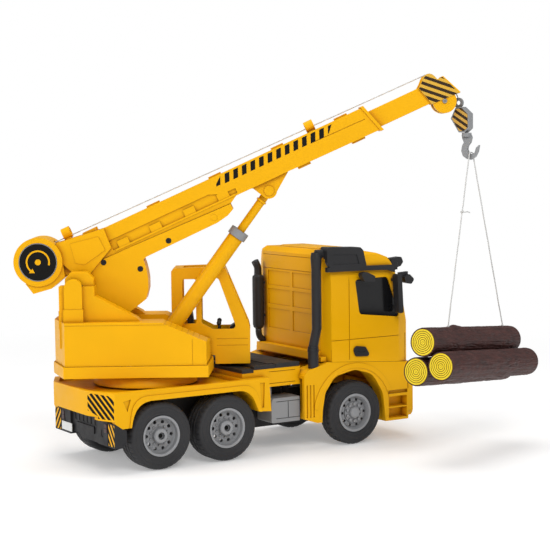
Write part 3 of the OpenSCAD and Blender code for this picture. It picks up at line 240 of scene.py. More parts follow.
def moulded(name, colour, roughness, drift, grain, grain_scale, specular,
            coat=0.0, metal=0.0, subsurface=0.0, crease_shade=None, reach=None):
    """Moulded surface: slow colour drift, fine grain, and painted shade darkening the creases
    within reach (m).
    """
    material, tree, shader, coords = new_material(name)
    slow = noise_texture(tree, coords, scale=18, detail=4)
    patches = noise_texture(tree, coords, scale=140)
    darker = tuple(max(0, c * (1 - drift)) for c in colour)
    lighter = tuple(min(1, c * (1 + drift)) for c in colour)
    base = colour_ramp(tree, slow, [(0.3, darker), (0.7, lighter)])
    # Painted shade in the creases, from ambient occlusion.
    if crease_shade:
        base = paint_crease_shade(tree, base, crease_shade, reach, shut=0.25, open_=0.9)
    feed_all(tree, shader, {
        "Base Color": base,
        "Roughness": remap(tree, patches, roughness * 0.86, min(1, roughness * 1.14)),
        "Specular IOR Level": specular,
        "Metallic": metal,
        "Coat Weight": coat,
        "Coat Roughness": 0.12,
    })
    if subsurface:
        feed_all(tree, shader, {"Subsurface Weight": subsurface, "Subsurface Scale": 0.002})
    fine = noise_texture(tree, coords, grain_scale, detail=2)
    bump(tree, shader, fine, strength=grain, distance=0.00006)
    return material


def cord_material():
    material, tree, shader, coords = new_material("braided_cord")
    inputs = {"Vector": coords, "Scale": 420, "Distortion": 1.5}
    braid = node(tree, "TexWave", inputs, wave_type="BANDS").outputs["Fac"]
    stops = [(0.2, (0.54, 0.54, 0.53)), (0.8, (0.6, 0.6, 0.59))]
    feed_all(tree, shader, {"Base Color": colour_ramp(tree, braid, stops), "Roughness": 0.8})
    bump(tree, shader, braid, strength=0.4, distance=0.0001)
    return material


def bark_material():
    """Brown streaks stretched along a turned X axis, dulled in broad patches."""
    material, tree, shader, coords = new_material("moulded_bark")
    turned_coords = node(tree, "Mapping", {
        "Vector": coords, "Rotation": (0, 0, math.radians(-18)), "Scale": (0.25, 1, 1),
    }).outputs[0]
    streaks = noise_texture(tree, turned_coords, scale=260, detail=6, roughness=0.6)
    patches = noise_texture(tree, turned_coords, scale=60)
    browns = [(0.3, (0.026, 0.0085, 0.0075)), (0.5, (0.056, 0.0185, 0.0155)),
              (0.72, (0.09, 0.033, 0.028))]
    shades = [(0.3, (0.75, 0.72, 0.7)), (0.7, (1.0, 0.98, 0.96))]
    mix = node(tree, "MixRGB", {
        "Fac": 0.5,
        "Color1": colour_ramp(tree, streaks, browns),
        "Color2": colour_ramp(tree, patches, shades),
    }, blend_type="MULTIPLY")
    feed_all(tree, shader, {
        "Base Color": mix.outputs[0],
        "Roughness": remap(tree, streaks, 0.42, 0.62),
        "Specular IOR Level": 0.3,
    })
    bump(tree, shader, streaks, strength=0.55, distance=0.0004)
    return material


def ring_material():
    material, tree, shader, coords = new_material("log_end")
    slow = noise_texture(tree, coords, scale=90, detail=4)
    fine = noise_texture(tree, coords, scale=900)
    base = colour_ramp(tree, slow, [(0.3, (0.76, 0.56, 0.02)), (0.7, (0.84, 0.64, 0.03))])
    # Painted shade darkens the ring grooves and creases of the log end.
    base = paint_crease_shade(tree, base, (0.16, 0.075, 0.003), reach=0.0012, shut=0.3, open_=0.85)
    feed_all(tree, shader, {
        "Base Color": base,
        "Roughness": remap(tree, fine, 0.35, 0.5),
        "Specular IOR Level": 0.2,
    })
    bump(tree, shader, fine, strength=0.2, distance=0.0001)
    return material


MATERIALS = {key: moulded(*row[:-1], **row[-1]) for key, row in FINISHES.items()}
MATERIALS["cord"] = cord_material()
MATERIALS["bark"] = bark_material()
MATERIALS["ring"] = ring_material()

# Frame slot of each finish that is not named after its slot
SLOT_OF_FINISH = {"ink": "black", "mat": "black", "dark": "black", "red": "black",
                  "film_dark": "black", "film": "yellow", "film_block": "yellow",
                  "ring": "yellow", "white": "grey"}


# --------------------------------------------------------------- modifiers
def split_edges(piece, degrees):
    piece.modifiers.new("sharp", "EDGE_SPLIT").split_angle = math.radians(degrees)


def round_edges(piece, width, degrees, weight=50):
    """Bevel the edges sharper than degrees, then weight the normals by face."""
    bevel = piece.modifiers.new("edges", "BEVEL")
    bevel.width = width * MM
    bevel.segments = 2
    bevel.limit_method = "ANGLE"
    bevel.angle_limit = math.radians(degrees)
    bevel.harden_normals = True
    normals = piece.modifiers.new("normals", "WEIGHTED_NORMAL")
    normals.keep_sharp = True
    normals.weight = weight


# -------------------------------------------------------------- CAD pieces
# Finish of each frame slot, and of the CAD pieces that differ from their slot
SLOT_FINISH = {"yellow": "yellow", "black": "black", "tyre": "tyre", "grey": "grey",
               "steel": "steel", "gear_nylon": "nylon", "cells": "cells", "board": "board",
               "dark_glazing": "glass", "cord": "cord", "bark": "bark"}
CAD_FINISH = {"boom_screws": "dark", "rear_axle1_shaft": "ink", "rear_axle2_shaft": "ink",
              "chassis_tray": "dark", "battery_cover": "dark", "front_axle_beam": "dark",
              "rear_bumper": "dark", "tread_mats": "mat", "front_rim_left": "rim",
              "front_rim_right": "rim", "rear_axle1_rims": "rim", "rear_axle2_rims": "rim"}
# Bevel widths; 0 splits the sharp edges instead
CAD_BEVEL = {"cab_shell": 0.9, "cab_fenders": 0.8, "rear_deck": 0.7, "crane_body": 0.8,
             "crane_base": 0.6, "operator_cab": 0.6, "boom_shell_right": 0.5,
             "boom_shell_left": 0.5, "inner_boom": 0.4, "rear_bumper": 0.5, "side_boxes": 0.5,
             "front_rim_left": 0, "front_rim_right": 0, "rear_axle1_rims": 0,
             "rear_axle2_rims": 0, "sun_visor": 0.5, "mirrors": 0.6, "side_fairing": 0.6,
             "hook_block": 0.35, "hook": 0.5, "operator_seat": 0.8}
CAD_BEVEL_DEFAULT = 0.25
CAD_SHARP = 28  # degrees


def dress(piece, finish, bevel):
    """Give a CAD piece its material, welded corners and soft edges."""
    piece.data.materials.clear()
    piece.data.materials.append(MATERIALS[finish])
    for polygon in piece.data.polygons:
        polygon.use_smooth = True
        polygon.material_index = 0
    piece.modifiers.new("weld", "WELD").merge_threshold = 2e-6
    if not bevel:
        split_edges(piece, CAD_SHARP)
        return
    flat = piece.modifiers.new("flat", "DECIMATE")
    flat.decimate_type = "DISSOLVE"
    flat.angle_limit = math.radians(0.6)
    round_edges(piece, bevel, CAD_SHARP, weight=60)


def dress_cad():
    slots = {part["node"]: part["material_slot"] for part in frame["record"]["subparts"]}
    for name, piece in frame["nodes"].items():
        finish = CAD_FINISH.get(name, SLOT_FINISH[slots[name]])
        dress(piece, finish, CAD_BEVEL.get(name, CAD_BEVEL_DEFAULT))


# ------------------------------------------------------------ mesh building
def link_mesh(name, mesh):
    piece = bpy.data.objects.new(name, mesh)
    bpy.context.scene.collection.objects.link(piece)
    return piece


def add(name, verts, faces, finish, body, smooth=False, bevel=0.0, slot=None, replaces=None):
    """New piece riding on body; with body None the caller says how it moves."""
    mesh = bpy.data.meshes.new(name)
    mesh.from_pydata([tuple(v) for v in verts], [], faces)
    bm = bmesh.new()
    bm.from_mesh(mesh)
    bmesh.ops.recalc_face_normals(bm, faces=bm.faces)
    bm.to_mesh(mesh)
    bm.free()
    for polygon in mesh.polygons:
        polygon.use_smooth = smooth or bevel > 0
    piece = link_mesh(name, mesh)
    mesh.materials.append(MATERIALS[finish])
    if bevel:
        round_edges(piece, bevel, degrees=30)
    if body:
        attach(piece, body)
    slot or SLOT_OF_FINISH.get(finish, finish)
    if replaces:
        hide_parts(replaces)
    return piece


def slabs(name, outlines, place, thickness, finish, body, sink=0.06, **look):
    """Flat raised outlines; place maps (x, y, depth) to the row frame."""
    verts, faces = [], []
    for outline in outlines:
        n, b = len(outline), len(verts)
        verts += [place(x, y, -sink) for x, y in outline]
        verts += [place(x, y, thickness) for x, y in outline]
        faces.append(list(range(b + n - 1, b - 1, -1)))
        faces.append(list(range(b + n, b + 2 * n)))
        faces += [[b + i, b + (i + 1) % n, b + n + (i + 1) % n, b + n + i] for i in range(n)]
    return add(name, verts, faces, finish, body, **look)


def turned(name, profile, place, steps, finish, body, centre=(0, 0), closed=True, shape=None,
           **look):
    """Turn a profile of (radius, depth) about centre; shape may alter (angle, radius, depth)."""
    verts, faces = [], []
    n = len(profile)
    for i in range(steps):
        angle = 2 * math.pi * i / steps
        for radius, depth in profile:
            if shape:
                radius, depth = shape(angle, radius, depth)
            verts.append(place(*polar(radius, angle, centre), depth))
    for i in range(steps):
        k = (i + 1) % steps
        for j in range(n if closed else n - 1):
            l = (j + 1) % n
            faces.append([i * n + j, i * n + l, k * n + l, k * n + j])
    return add(name, verts, faces, finish, body, **look)


def tube(name, points, radius, finish, body, sides, twist=0.0, subdiv=1, **look):
    """Rod along points in the row frame; with a twist (radians a step) it is three-stranded."""
    path = []
    for a, b in zip(points[:-1], points[1:]):
        path += [a.lerp(b, k / subdiv) for k in range(subdiv)]
    path.append(points[-1])
    verts, faces = [], []
    up = None
    for i, point in enumerate(path):
        ahead = (path[min(i + 1, len(path) - 1)] - path[max(i - 1, 0)]).normalized()
        if up is None:
            up = ahead.orthogonal().normalized()
        up = (up - ahead * up.dot(ahead)).normalized()
        across = ahead.cross(up)
        for k in range(sides):
            around = 2 * math.pi * k / sides
            angle = around + twist * i
            strand = 1 + (0.12 * math.cos(3 * around) if twist else 0)
            offset = up * math.cos(angle) + across * math.sin(angle)
            verts.append(point + offset * (radius * strand) * MM)
    for i in range(len(path) - 1):
        for k in range(sides):
            l = (k + 1) % sides
            faces.append([i * sides + k, i * sides + l, (i + 1) * sides + l, (i + 1) * sides + k])
    faces.append(list(range(sides - 1, -1, -1)))
    faces.append([(len(path) - 1) * sides + k for k in range(sides)])
    return add(name, verts, faces, finish, body, smooth=True, **look)


def bar(name, x_span, y_span, z_span, finish, bevel, grooves=0):
    """Solid bar on the chassis, its top cut by evenly spaced grooves across the truck."""
    (x0, x1), (z0, z1) = x_span, z_span
    profile = [(x0, z1)]
    for k in range(grooves):
        c = x0 + (x1 - x0) * (k + 0.5) / grooves
        floor_z = z1 - 0.45
        profile += [(c - 0.35, z1), (c - 0.2, floor_z), (c + 0.2, floor_z), (c + 0.35, z1)]
    profile += [(x1, z1), (x1, z0), (x0, z0)]
    n = len(profile)
    verts = [on_truck(x, y, z) for y in y_span for x, z in profile]
    faces = [list(range(n)), list(range(2 * n - 1, n - 1, -1))]
    faces += [[i, (i + 1) % n, n + (i + 1) % n, n + i] for i in range(n)]
    return add(name, verts, faces, finish, "chassis", bevel=bevel)


# ---------------------------------------------------------------- outlines
def rectangle(x0, y0, x1, y1):
    return [(x0, y0), (x1, y0), (x1, y1), (x0, y1)]


def clip(outline, region):
    """The part of an outline inside a convex counter-clockwise region, [] if none."""
    for i, a in enumerate(region):
        b = region[(i + 1) % len(region)]
        before, outline = outline, []
        for j, p in enumerate(before):
            q = before[(j + 1) % len(before)]
            side_p, side_q = (
                (b[0] - a[0]) * (v[1] - a[1]) - (b[1] - a[1]) * (v[0] - a[0]) for v in (p, q))
            if side_p >= 0:
                outline.append(p)
            if (side_p >= 0) != (side_q >= 0):
                t = side_p / (side_p - side_q)
                outline.append((p[0] + t * (q[0] - p[0]), p[1] + t * (q[1] - p[1])))
        if not outline:
            break
    merge = 0.02  # points closer than this become one
    clean = []
    for p in outline:
        if not clean or math.dist(p, clean[-1]) > merge:
            clean.append(p)
    if len(clean) > 2 and math.dist(clean[0], clean[-1]) < merge:
        clean.pop()
    return clean if len(clean) > 2 else []


def stripes(region, degrees, pitch, duty, phase):
    """Slanted bars clipped to region; duty is the bar's share of the pitch."""
    dx, dy = math.cos(math.radians(degrees)), math.sin(math.radians(degrees))
    nx, ny = -dy, dx
    reach = 500  # half length of a bar before clipping
    heights = [x * nx + y * ny for x, y in region]
    first = math.floor((min(heights) - phase) / pitch) - 1
    last = math.ceil((max(heights) - phase) / pitch) + 2
    bars = []
    for k in range(first, last):
        a = k * pitch + phase
        b = k * pitch + phase + pitch * duty
        corners = ((a, -reach), (a, reach), (b, reach), (b, -reach))
        clipped = clip([(nx * h + dx * t, ny * h + dy * t) for h, t in corners], region)
        if clipped:
            bars.append(clipped)
    return bars


# -------------------------------------------------------------------- tyres
HALF_WIDTH = 61.6  # outer faces of the tyres and the rear corners
TYRE_R = 29.7
BEAD_R = 17.83
LUGS = 36
SHOULDER = 5.6  # width of the lugged shoulder
# (name, x, width, side, body, CAD piece replaced)
TYRES = [
    ("tyre_rear1_left", -16.5, 26, 1, "rear_axle_1", "rear_axle1_tyres"),
    ("tyre_rear1_right", -16.5, 26, -1, "rear_axle_1", "rear_axle1_tyres"),
    ("tyre_rear2_left", 49.1, 26, 1, "rear_axle_2", "rear_axle2_tyres"),
    ("tyre_rear2_right", 49.1, 26, -1, "rear_axle_2", "rear_axle2_tyres"),
    ("tyre_front_left", 186.1, 18, 1, "front_wheel_left", "front_tyre_left"),
    ("tyre_front_right", 186.1, 18, -1, "front_wheel_right", "front_tyre_right"),
]
# Side wall and shoulder: (radius, inset from the tyre's face)
TYRE_WALL = [
    (BEAD_R, 1.6), (18.3, 1.0), (19.4, 0.35), (20.6, 0.1), (21.2, 0.35), (21.8, 0.1),
    (22.6, 0), (24.6, 0), (25.1, 0.3), (25.7, 0), (26.6, 0.12), (27.5, 0.55),
    (28.3, 1.25), (28.9, 2.1), (29.25, 3.0), (29.5, 4.0), (29.6, 5.4),
]
# Groove round the tread: (radius, distance from the groove's middle)
TREAD_GROOVE = [(TYRE_R, 1.5), (29.65, 0.8), (28.5, 0.55),
                (28.5, -0.55), (29.65, -0.8), (TYRE_R, -1.5)]


def tyre(name, x, width, side, body, replaces):
    """Tyre with shoulder lugs, tread cuts and three grooves round it."""
    profile = [(r, width - inset) for r, inset in TYRE_WALL]
    for middle in (width / 2 + width * 0.2, width / 2, width / 2 - width * 0.2):
        profile += [(r, middle + offset) for r, offset in TREAD_GROOVE]
    profile += reversed(TYRE_WALL)
    profile.append((BEAD_R, width / 2))

    def cut(angle, r, depth):
        phase = angle / (2 * math.pi) * LUGS % 1.0
        if r > 28.2 and (depth < SHOULDER or depth > width - SHOULDER):
            if 0.34 < phase < 0.56:
                r -= min(1.0, (r - 28.2) / 0.9) * 0.55
        elif r > 29.55:
            start = 0.34 if depth > width / 2 else 0.84
            if start < phase < start + 0.12:
                r -= 0.35
        return r, depth

    place = side_face(on_truck, side, HALF_WIDTH - width)
    piece = turned(name, profile, place, 288, "tyre", body, centre=(x, TYRE_R), shape=cut,
                   smooth=True, replaces=replaces)
    split_edges(piece, 42)


# ------------------------------------------------------------- rear corners
REAR_X = -61.6  # rear face of the bumper
CHAMFER_IN, CHAMFER_OUT = (-74.2, 35), (-61.3, HALF_WIDTH)  # plan ends (x, y) of the corner face
# Striped areas on the corner face: (distance from the inner end, height)
CHAMFER_AREAS = (
    [(0.5, 54.6), (11.6, 50.2), (11.6, 68.9), (4.4, 69.3), (0.5, 67.3)],
    [(11.6, 47.9), (29.0, 47.9), (29.0, 64.6), (23.0, 68.4), (11.6, 68.9)],
)
BUMPER_AREA = rectangle(49.3, 24.6, 61.0, 43.4)  # (y, z)


def rear_face(side=1):
    return lambda y, z, depth: on_truck(REAR_X - depth, side * y, z)


def chamfer_face(side):
    """Placer (distance from the inner end, z, depth) on a slanted rear corner."""
    x, y = CHAMFER_IN[0], side * CHAMFER_IN[1]
    run = Vector((CHAMFER_OUT[0] - x, side * CHAMFER_OUT[1] - y))
    run.normalize()
    out = Vector((run.y, -run.x)) * -side
    return lambda s, z, depth: on_truck(x + run.x * s + out.x * depth,
                                        y + run.y * s + out.y * depth, z)


def rear_markings():
    for side, tag in SIDES:
        bars = []
        for area in CHAMFER_AREAS:
            bars += stripes(area, degrees=-46, pitch=4.36, duty=0.6, phase=1.4)
        slabs("marking_chamfer_" + tag, bars, chamfer_face(side), 0.07, "ink", "chassis")
        place = rear_face(side)
        slabs("marking_bumper_ground_" + tag, [BUMPER_AREA], place, 0.05, "yellow", "chassis")
        bars = stripes(BUMPER_AREA, degrees=-52, pitch=5.0, duty=0.52, phase=0.6)
        slabs("marking_bumper_" + tag, bars, place, 0.1, "ink", "chassis")


def rear_plate_and_lamps():
    plate = rectangle(25.0, 25.4, 46.6, 33.0)
    slabs("number_plate", [plate], rear_face(), 0.45, "white", "chassis", bevel=0.15)
    lamp_in, lamp_out = 41.4, 46.9
    for side, tag in SIDES:
        lamp = rectangle(lamp_in, 35.0, lamp_out, 42.4)
        rib = rectangle(lamp_in, 38.4, lamp_out, 39.0)
        slabs("rear_lamp_" + tag, [lamp], rear_face(side), 0.5, "red", "chassis", bevel=0.2)
        slabs("rear_lamp_rib_" + tag, [rib], rear_face(side), 0.62, "dark", "chassis")


# --------------------------------------------------------------------- deck
MAT_IN, MAT_OUT = 46.0, 52.5  # edge mats, from the middle plane


def tread_mats():
    """Grooved mat across the step, and two along each side of the deck."""
    bar("mat_step", (69.5, 81.6), (-MAT_OUT, MAT_OUT), (75.2, 78.5), "mat", 0.35, grooves=6)
    for side, tag in SIDES:
        across = sorted((side * MAT_IN, side * MAT_OUT))
        bar("mat_edge_" + tag, (81.8, 104.6), across, (77.5, 80.75), "mat", 0.35, grooves=8)
        bar("mat_edge_front_" + tag, (104.9, 130.4), across, (77.5, 81.5), "mat", 0.5, grooves=9)


def turntable_collar():
    profile = [(35.0, 69.0), (46.4, 69.0), (46.4, 71.4), (44.9, 76.9), (44.0, 77.9), (35.0, 77.9)]
    turned("turntable_collar", profile, on_truck, 128, "yellow", "chassis", bevel=0.3)


# ------------------------------------------------------------------ exhaust
EXHAUST_X, EXHAUST_Y = 149.4, 50.0
EXHAUST_PROFILE = [  # (radius, z)
    (0.01, 101.2), (3.4, 101.2), (4.9, 102.6), (5.6, 105.4), (5.6, 150.6),
    (5.2, 152.4), (3.7, 153.6), (3.6, 158.2), (0.01, 158.2),
]
ELBOW = [  # (ahead of the stack's axis, z): the lower pipe bends forwards
    (0, 103.0), (0, 98.0), (0.3, 95.6), (1.1, 93.4), (2.4, 91.6), (3.9, 90.4), (5.4, 89.9),
    (7.0, 89.8),
]
TAIL_BEND_R = 12
TAIL_BEND_Z = 158.2


def exhaust():
    def pipe(name, stations, radius):
        points = [on_truck(EXHAUST_X + ahead, EXHAUST_Y, z) for ahead, z in stations]
        tube(name, points, radius, "black", "chassis", sides=40, replaces="exhaust_stack")

    turned("exhaust_body", EXHAUST_PROFILE, on_truck, 72, "black", "chassis",
           centre=(EXHAUST_X, EXHAUST_Y), bevel=0.25, replaces="exhaust_stack")
    bend = [polar(TAIL_BEND_R, angle, (-TAIL_BEND_R, TAIL_BEND_Z))
            for angle in (0.0, 0.1, 0.2, 0.3, 0.42)]
    pipe("exhaust_tail", [(0, 157.6), *bend, (-3.2, 167.0)], 3.6)
    pipe("exhaust_elbow", ELBOW, 3.1)
    for z in (113, 145):
        bar("exhaust_strap_%d" % z, (EXHAUST_X + 3.0, 156.4), (EXHAUST_Y - 3, EXHAUST_Y + 3),
            (z, z + 2.2), "black", 0.3)


# --------------------------------------------------------------------- boom
def boom_marking():
    """Row of leaning bars on each side of the boom, with a pointed one at each end."""
    bars = [[(144.4, 27.9), (148.4, 27.9), (151.4, 34.7), (145.3, 30.0)]]
    for k in range(12):
        x = 152.8 + 8.34 * k
        bars.append([(x - 0.3, 27.3), (x + 4.2, 27.3), (x + 7.5, 35.0), (x + 3.0, 35.0)])
    bars.append([(252.9, 27.9), (254.8, 29.4), (259.4, 34.7), (255.9, 34.7)])
    for side, tag in SIDES:
        slabs("marking_boom_" + tag, bars, side_face(on_boom, side, 13.0), 0.07, "ink", "boom")


def boom_clips():
    """A clip in each side channel and a blind cap beside it, lower on the boom."""
    clip_outline = rectangle(43.9, 14.6, 54.5, 21.2)
    cap = [(0.01, 14.6), (2.5, 14.6), (2.8, 14.4), (2.8, 14.0), (0.01, 14.0)]
    for side, tag in SIDES:
        slabs("channel_clip_" + tag, [clip_outline], side_face(on_boom, side, 11.6), 1.5,
              "yellow", "boom", bevel=0.25)
        turned("blind_cap_" + tag, cap, side_face(on_boom, side), 48, "yellow", "boom",
               centre=(131, 4), bevel=0.08)


# --------------------------------------------------------------- inner boom
INNER_HALF = 9.1  # half width of the telescopic arm
CHEEK_FACE = 10.9  # outer face of the head cheeks
CHEEK_THICK = 3.3
CHEEK = [  # (along, above)
    (347.3, 13.4), (373.4, 12.4), (365.7, 31.3), (360.6, 31.3), (359.5, 34.9), (358.2, 37.2),
    (356.4, 38.8), (354.2, 39.4), (351.9, 39.1), (349.2, 37.3), (346.2, 34.2), (342.4, 31.1),
]
CHEEK_AREAS = (  # striped: the body of the cheek, then the hump above it
    [(347.5, 13.5), (373.2, 12.5), (365.5, 31.2), (342.6, 31.0)],
    [(342.6, 31.0), (360.5, 31.2), (359.3, 34.8), (357.8, 37.1), (356.0, 38.2), (352.0, 38.2),
     (349.3, 37.0), (346.4, 34.2)],
)
HEAD_END = [(365.0, 31.6), (366.4, 31.9), (374.7, 12.6), (373.3, 12.0)]
# Turned parts on the sheave axis: (radius, distance from the middle plane)
GUARD = [(0.01, 5.2), (10.3, 5.2), (10.6, 5.5), (10.6, 10.1), (10.3, 10.4), (0.01, 10.4)]
PIN_CAP = [(0.01, 10.3), (2.0, 10.3), (2.0, 11.5), (1.6, 11.9), (0.9, 11.9), (0.8, 11.6),
           (0.01, 11.6)]
SHEAVE_PROFILE = [
    (1.8, -4.8), (2.6, -4.8), (2.6, -3.1), (10.2, -3.0), (10.2, -1.6), (7.7, -0.8),
    (7.7, 0.8), (10.2, 1.6), (10.2, 3.0), (2.6, 3.1), (2.6, 4.8), (1.8, 4.8),
]


def inner_boom_plate(name, outline, place, thickness, bevel):
    slabs(name, [outline], place, thickness, "yellow", "inner_boom", sink=0.0, bevel=bevel,
          replaces="inner_boom")


def head_side(side, tag):
    """Cheek with its striped film, the round guard inside it and the pin's cap."""
    inner = side_face(on_boom, side, CHEEK_FACE - CHEEK_THICK)
    inner_boom_plate("head_cheek_" + tag, CHEEK, inner, CHEEK_THICK, bevel=0.2)
    outer = side_face(on_boom, side, CHEEK_FACE)
    slabs("head_film_" + tag, [CHEEK], outer, 0.05, "film", "inner_boom")
    bars = []
    for area in CHEEK_AREAS:
        bars += stripes(area, degrees=-43.6, pitch=5.4, duty=0.5, phase=3.5)
    slabs("marking_head_" + tag, bars, outer, 0.1, "film_dark", "inner_boom")
    place = side_face(on_boom, side)
    turned("head_guard_" + tag, GUARD, place, 96, "yellow", "inner_boom", centre=SHEAVE,
           bevel=0.05, replaces="inner_boom")
    turned("head_pin_cap_" + tag, PIN_CAP, place, 48, "grey", "inner_boom", centre=SHEAVE)


def inner_boom():
    arm = rectangle(192, 14.5, 347.6, 31.2)
    place = side_face(on_boom, offset=-INNER_HALF)
    inner_boom_plate("inner_boom_bar", arm, place, 2 * INNER_HALF, bevel=0.4)
    for side, tag in SIDES:
        head_side(side, tag)
    place = side_face(on_boom, offset=-CHEEK_FACE)
    inner_boom_plate("head_end_plate", HEAD_END, place, 2 * CHEEK_FACE, bevel=0.2)
    turned("head_sheave_wheel", SHEAVE_PROFILE, side_face(on_boom), 96, "dark", "head_sheave",
           centre=SHEAVE, bevel=0.1, slot="grey", replaces="head_sheave")


# --------------------------------------------------------------- hook block
HOOK_FACE = 5.2  # side of the hook block from its middle plane
HOOK_PLATE_THICK = 0.35
HOOK_SIDE = [(-5.5, -15.1), (1.9, -27.2), (7.0, -27.1), (10.8, -23.9), (10.8, -11.4),
             (4.4, -5.4), (-1.1, -6.2)]  # (x, z)
HOOK_SHRINK = (0.9, 0.93)  # the plate against that outline, about its mean point


def hook_block_plates():
    mean_x = sum(x for x, z in HOOK_SIDE) / len(HOOK_SIDE)
    mean_z = sum(z for x, z in HOOK_SIDE) / len(HOOK_SIDE)
    plate = [(mean_x + (x - mean_x) * HOOK_SHRINK[0], mean_z + (z - mean_z) * HOOK_SHRINK[1])
             for x, z in HOOK_SIDE]
    bars = stripes(plate, degrees=-34, pitch=4.9, duty=0.5, phase=0.6)
    for side, tag in SIDES:
        slabs("plate_hook_block_" + tag, [plate], side_face(on_hook, side, HOOK_FACE),
              HOOK_PLATE_THICK, "film_block", "hook_block", bevel=0.1)
        place = side_face(on_hook, side, HOOK_FACE + HOOK_PLATE_THICK)
        slabs("marking_hook_block_" + tag, bars, place, 0.06, "film_dark", "hook_block")


# -------------------------------------------------------------------- winch
WINCH = (-25.75, 33.8)  # drum axis in boom coordinates
WINCH_FACE = 19.9
# Turned parts: (radius, distance from the middle plane)
DISC = [(0.01, WINCH_FACE), (16.2, WINCH_FACE), (16.2, 19.2), (0.01, 19.2)]
DISC_RIM = [(16.15, 19.2), (16.15, 20.05), (16.45, 20.2), (16.75, 20.1), (16.95, 19.2)]
DISC_HUB = [(0.01, 19.85), (0.01, 19.97), (2.6, 19.97), (2.6, 19.85)]
ARROW_OUT, ARROW_IN = 10.6, 9.1  # radii of the curved arrow's shaft
ARROW_START, ARROW_END = math.radians(-40), math.radians(205)
ARROW_STEPS = 40


def curved_arrow():
    """Outlines of an arrow turning round the drum axis."""
    angles = [ARROW_START + (ARROW_END - ARROW_START) * i / ARROW_STEPS
              for i in range(ARROW_STEPS + 1)]
    outlines = [[polar(ARROW_IN, a, WINCH), polar(ARROW_OUT, a, WINCH),
                 polar(ARROW_OUT, b, WINCH), polar(ARROW_IN, b, WINCH)]
                for a, b in zip(angles[:-1], angles[1:])]
    outlines.append([polar(7.4, ARROW_END, WINCH), polar(12.3, ARROW_END, WINCH),
                     polar((ARROW_IN + ARROW_OUT) / 2, ARROW_END + 0.42, WINCH)])
    return outlines


def winch_discs():
    for side, tag in SIDES:
        place = side_face(on_boom, side)
        turned("winch_disc_" + tag, DISC, place, 96, "ink", "boom", centre=WINCH)
        turned("winch_disc_rim_" + tag, DISC_RIM, place, 96, "grey", "boom", centre=WINCH,
               smooth=True)
        slabs("winch_disc_sign_" + tag, curved_arrow(), side_face(on_boom, side, WINCH_FACE),
              0.06, "yellow", "boom")
        turned("winch_disc_hub_" + tag, DISC_HUB, place, 64, "yellow", "boom", centre=WINCH)


# -------------------------------------------------------------------- ropes
ROPE_R = 0.5


def boom_rope():
    """Rope from the drum to the head, fixed in the row frame."""
    points = [on_boom(WINCH[0] + 2, 0, WINCH[1] + 9.7), on_boom(353.6, 0, 39.2)]
    rope = tube("rope_boom", points, ROPE_R, "cord", None, sides=10, twist=0.5, subdiv=160)
    on_boom(250, 0, 40)
    on_boom(330, 0, 40)
    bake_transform(rope)
    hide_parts("boom_rope")


def falls():
    """Rope over the sheave, and the drop from it down to the eye below."""
    top = off_sheave(11.6, 6.6)
    eye = off_sheave(13.6, 2.0)
    points = [off_sheave(*polar(8.05, math.radians(degrees)))
              for degrees in (150, 135, 120, 105, 90, 75, 62, 50)]
    points += [off_sheave(9.0, 7.1), top]
    tube("rope_at_head", points, ROPE_R, "cord", "rope_falls", sides=12, twist=0.5, subdiv=3,
         replaces="rope_falls")
    drop = tube("rope_drop", [top, eye], ROPE_R, "cord", None, sides=12, twist=0.4, subdiv=60)
    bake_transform(drop)
    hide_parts("rope_falls")


# --------------------------------------------------------------------- logs
LOG_LENGTH = 151.5
LOG_R = 12.75
LOG_AROUND, LOG_ALONG = 200, 240  # mesh steps
# Each log: its middle (x, y, z) in load coordinates, then its knots as
# (x, angle, reach along, reach round in radians, height)
LOGS = [
    ((1.2, 11, 75.5), [(-8, -1.15, 12, 0.5, 1.9), (-55, 2.6, 9, 0.45, 1.2)]),
    ((-1, 4, 101.5), [(-24, 1.5, 11, 0.42, 2.0), (-30, -2.4, 8, 0.4, 1.2)]),
    ((-1, -15, 82.1), [(20, -2.0, 10, 0.5, 1.6), (-52, -1.75, 8, 0.45, 1.4)]),
]
_, TOP_LOG_Y, TOP_LOG_Z = LOGS[1][0]
# Moulded end: (radius, distance out from the log's end)
LIP = [(LOG_R - 0.35, 0.0), (LOG_R - 0.5, 0.35), (LOG_R - 0.95, 0.35), (LOG_R - 1.15, -0.15),
       (LOG_R - 1.5, -0.15)]


def bark_radius(x, angle, seed, knots):
    """Radius with drifting furrows, broken by cross cracks, and knots."""
    shift = Vector((seed * 13.7, seed * 5.1, seed * 3.3))
    c, s = math.cos(angle), math.sin(angle)
    warp = noise.noise(Vector((x * 0.03, angle, seed))) * 1.6
    bent = angle + warp * 0.12
    broad = Vector((math.cos(bent) * 5.0, math.sin(bent) * 5.0, x * 0.02 + warp)) + shift
    narrow = Vector((c * 7.5, s * 7.5, x * 0.045)) + shift
    furrow = abs(noise.noise(broad * 1.05))
    fine = abs(noise.noise(narrow * 1.4))
    crack = noise.noise(Vector((c * 2, s * 2, x * 0.22)) + shift)
    height = 0.55 * min(1.0, furrow * 4.2) + 0.3 * min(1.0, fine * 3.4) + 0.12 * crack
    r = LOG_R - 0.9 + 1.0 * height
    for knot_x, knot_angle, along, around, knot_height in knots:
        turn = (angle - knot_angle + math.pi) % (2 * math.pi) - math.pi
        spread = ((x - knot_x) / along) ** 2 + (turn / around) ** 2
        r += knot_height * math.exp(-spread * 1.6)
    # even out to a plain circle at both ends
    inside = min(1.0, min(x + LOG_LENGTH / 2, LOG_LENGTH / 2 - x) / 1.2)
    return r * inside + (LOG_R - 0.35) * (1 - inside)


def ring_profile():
    """Flat rings with narrow grooves between them, from the rim to the middle."""
    profile = [(LOG_R - 1.2, -0.25), (LOG_R - 1.45, 0.1)]
    r = LOG_R - 1.75
    while r > 1.6:
        profile += [(r, 0.3), (r - 1.18, 0.3), (r - 1.24, -0.05), (r - 1.7, -0.05)]
        r -= 1.76
    return profile + [(0.8, 0.3), (0.02, 0.35)]


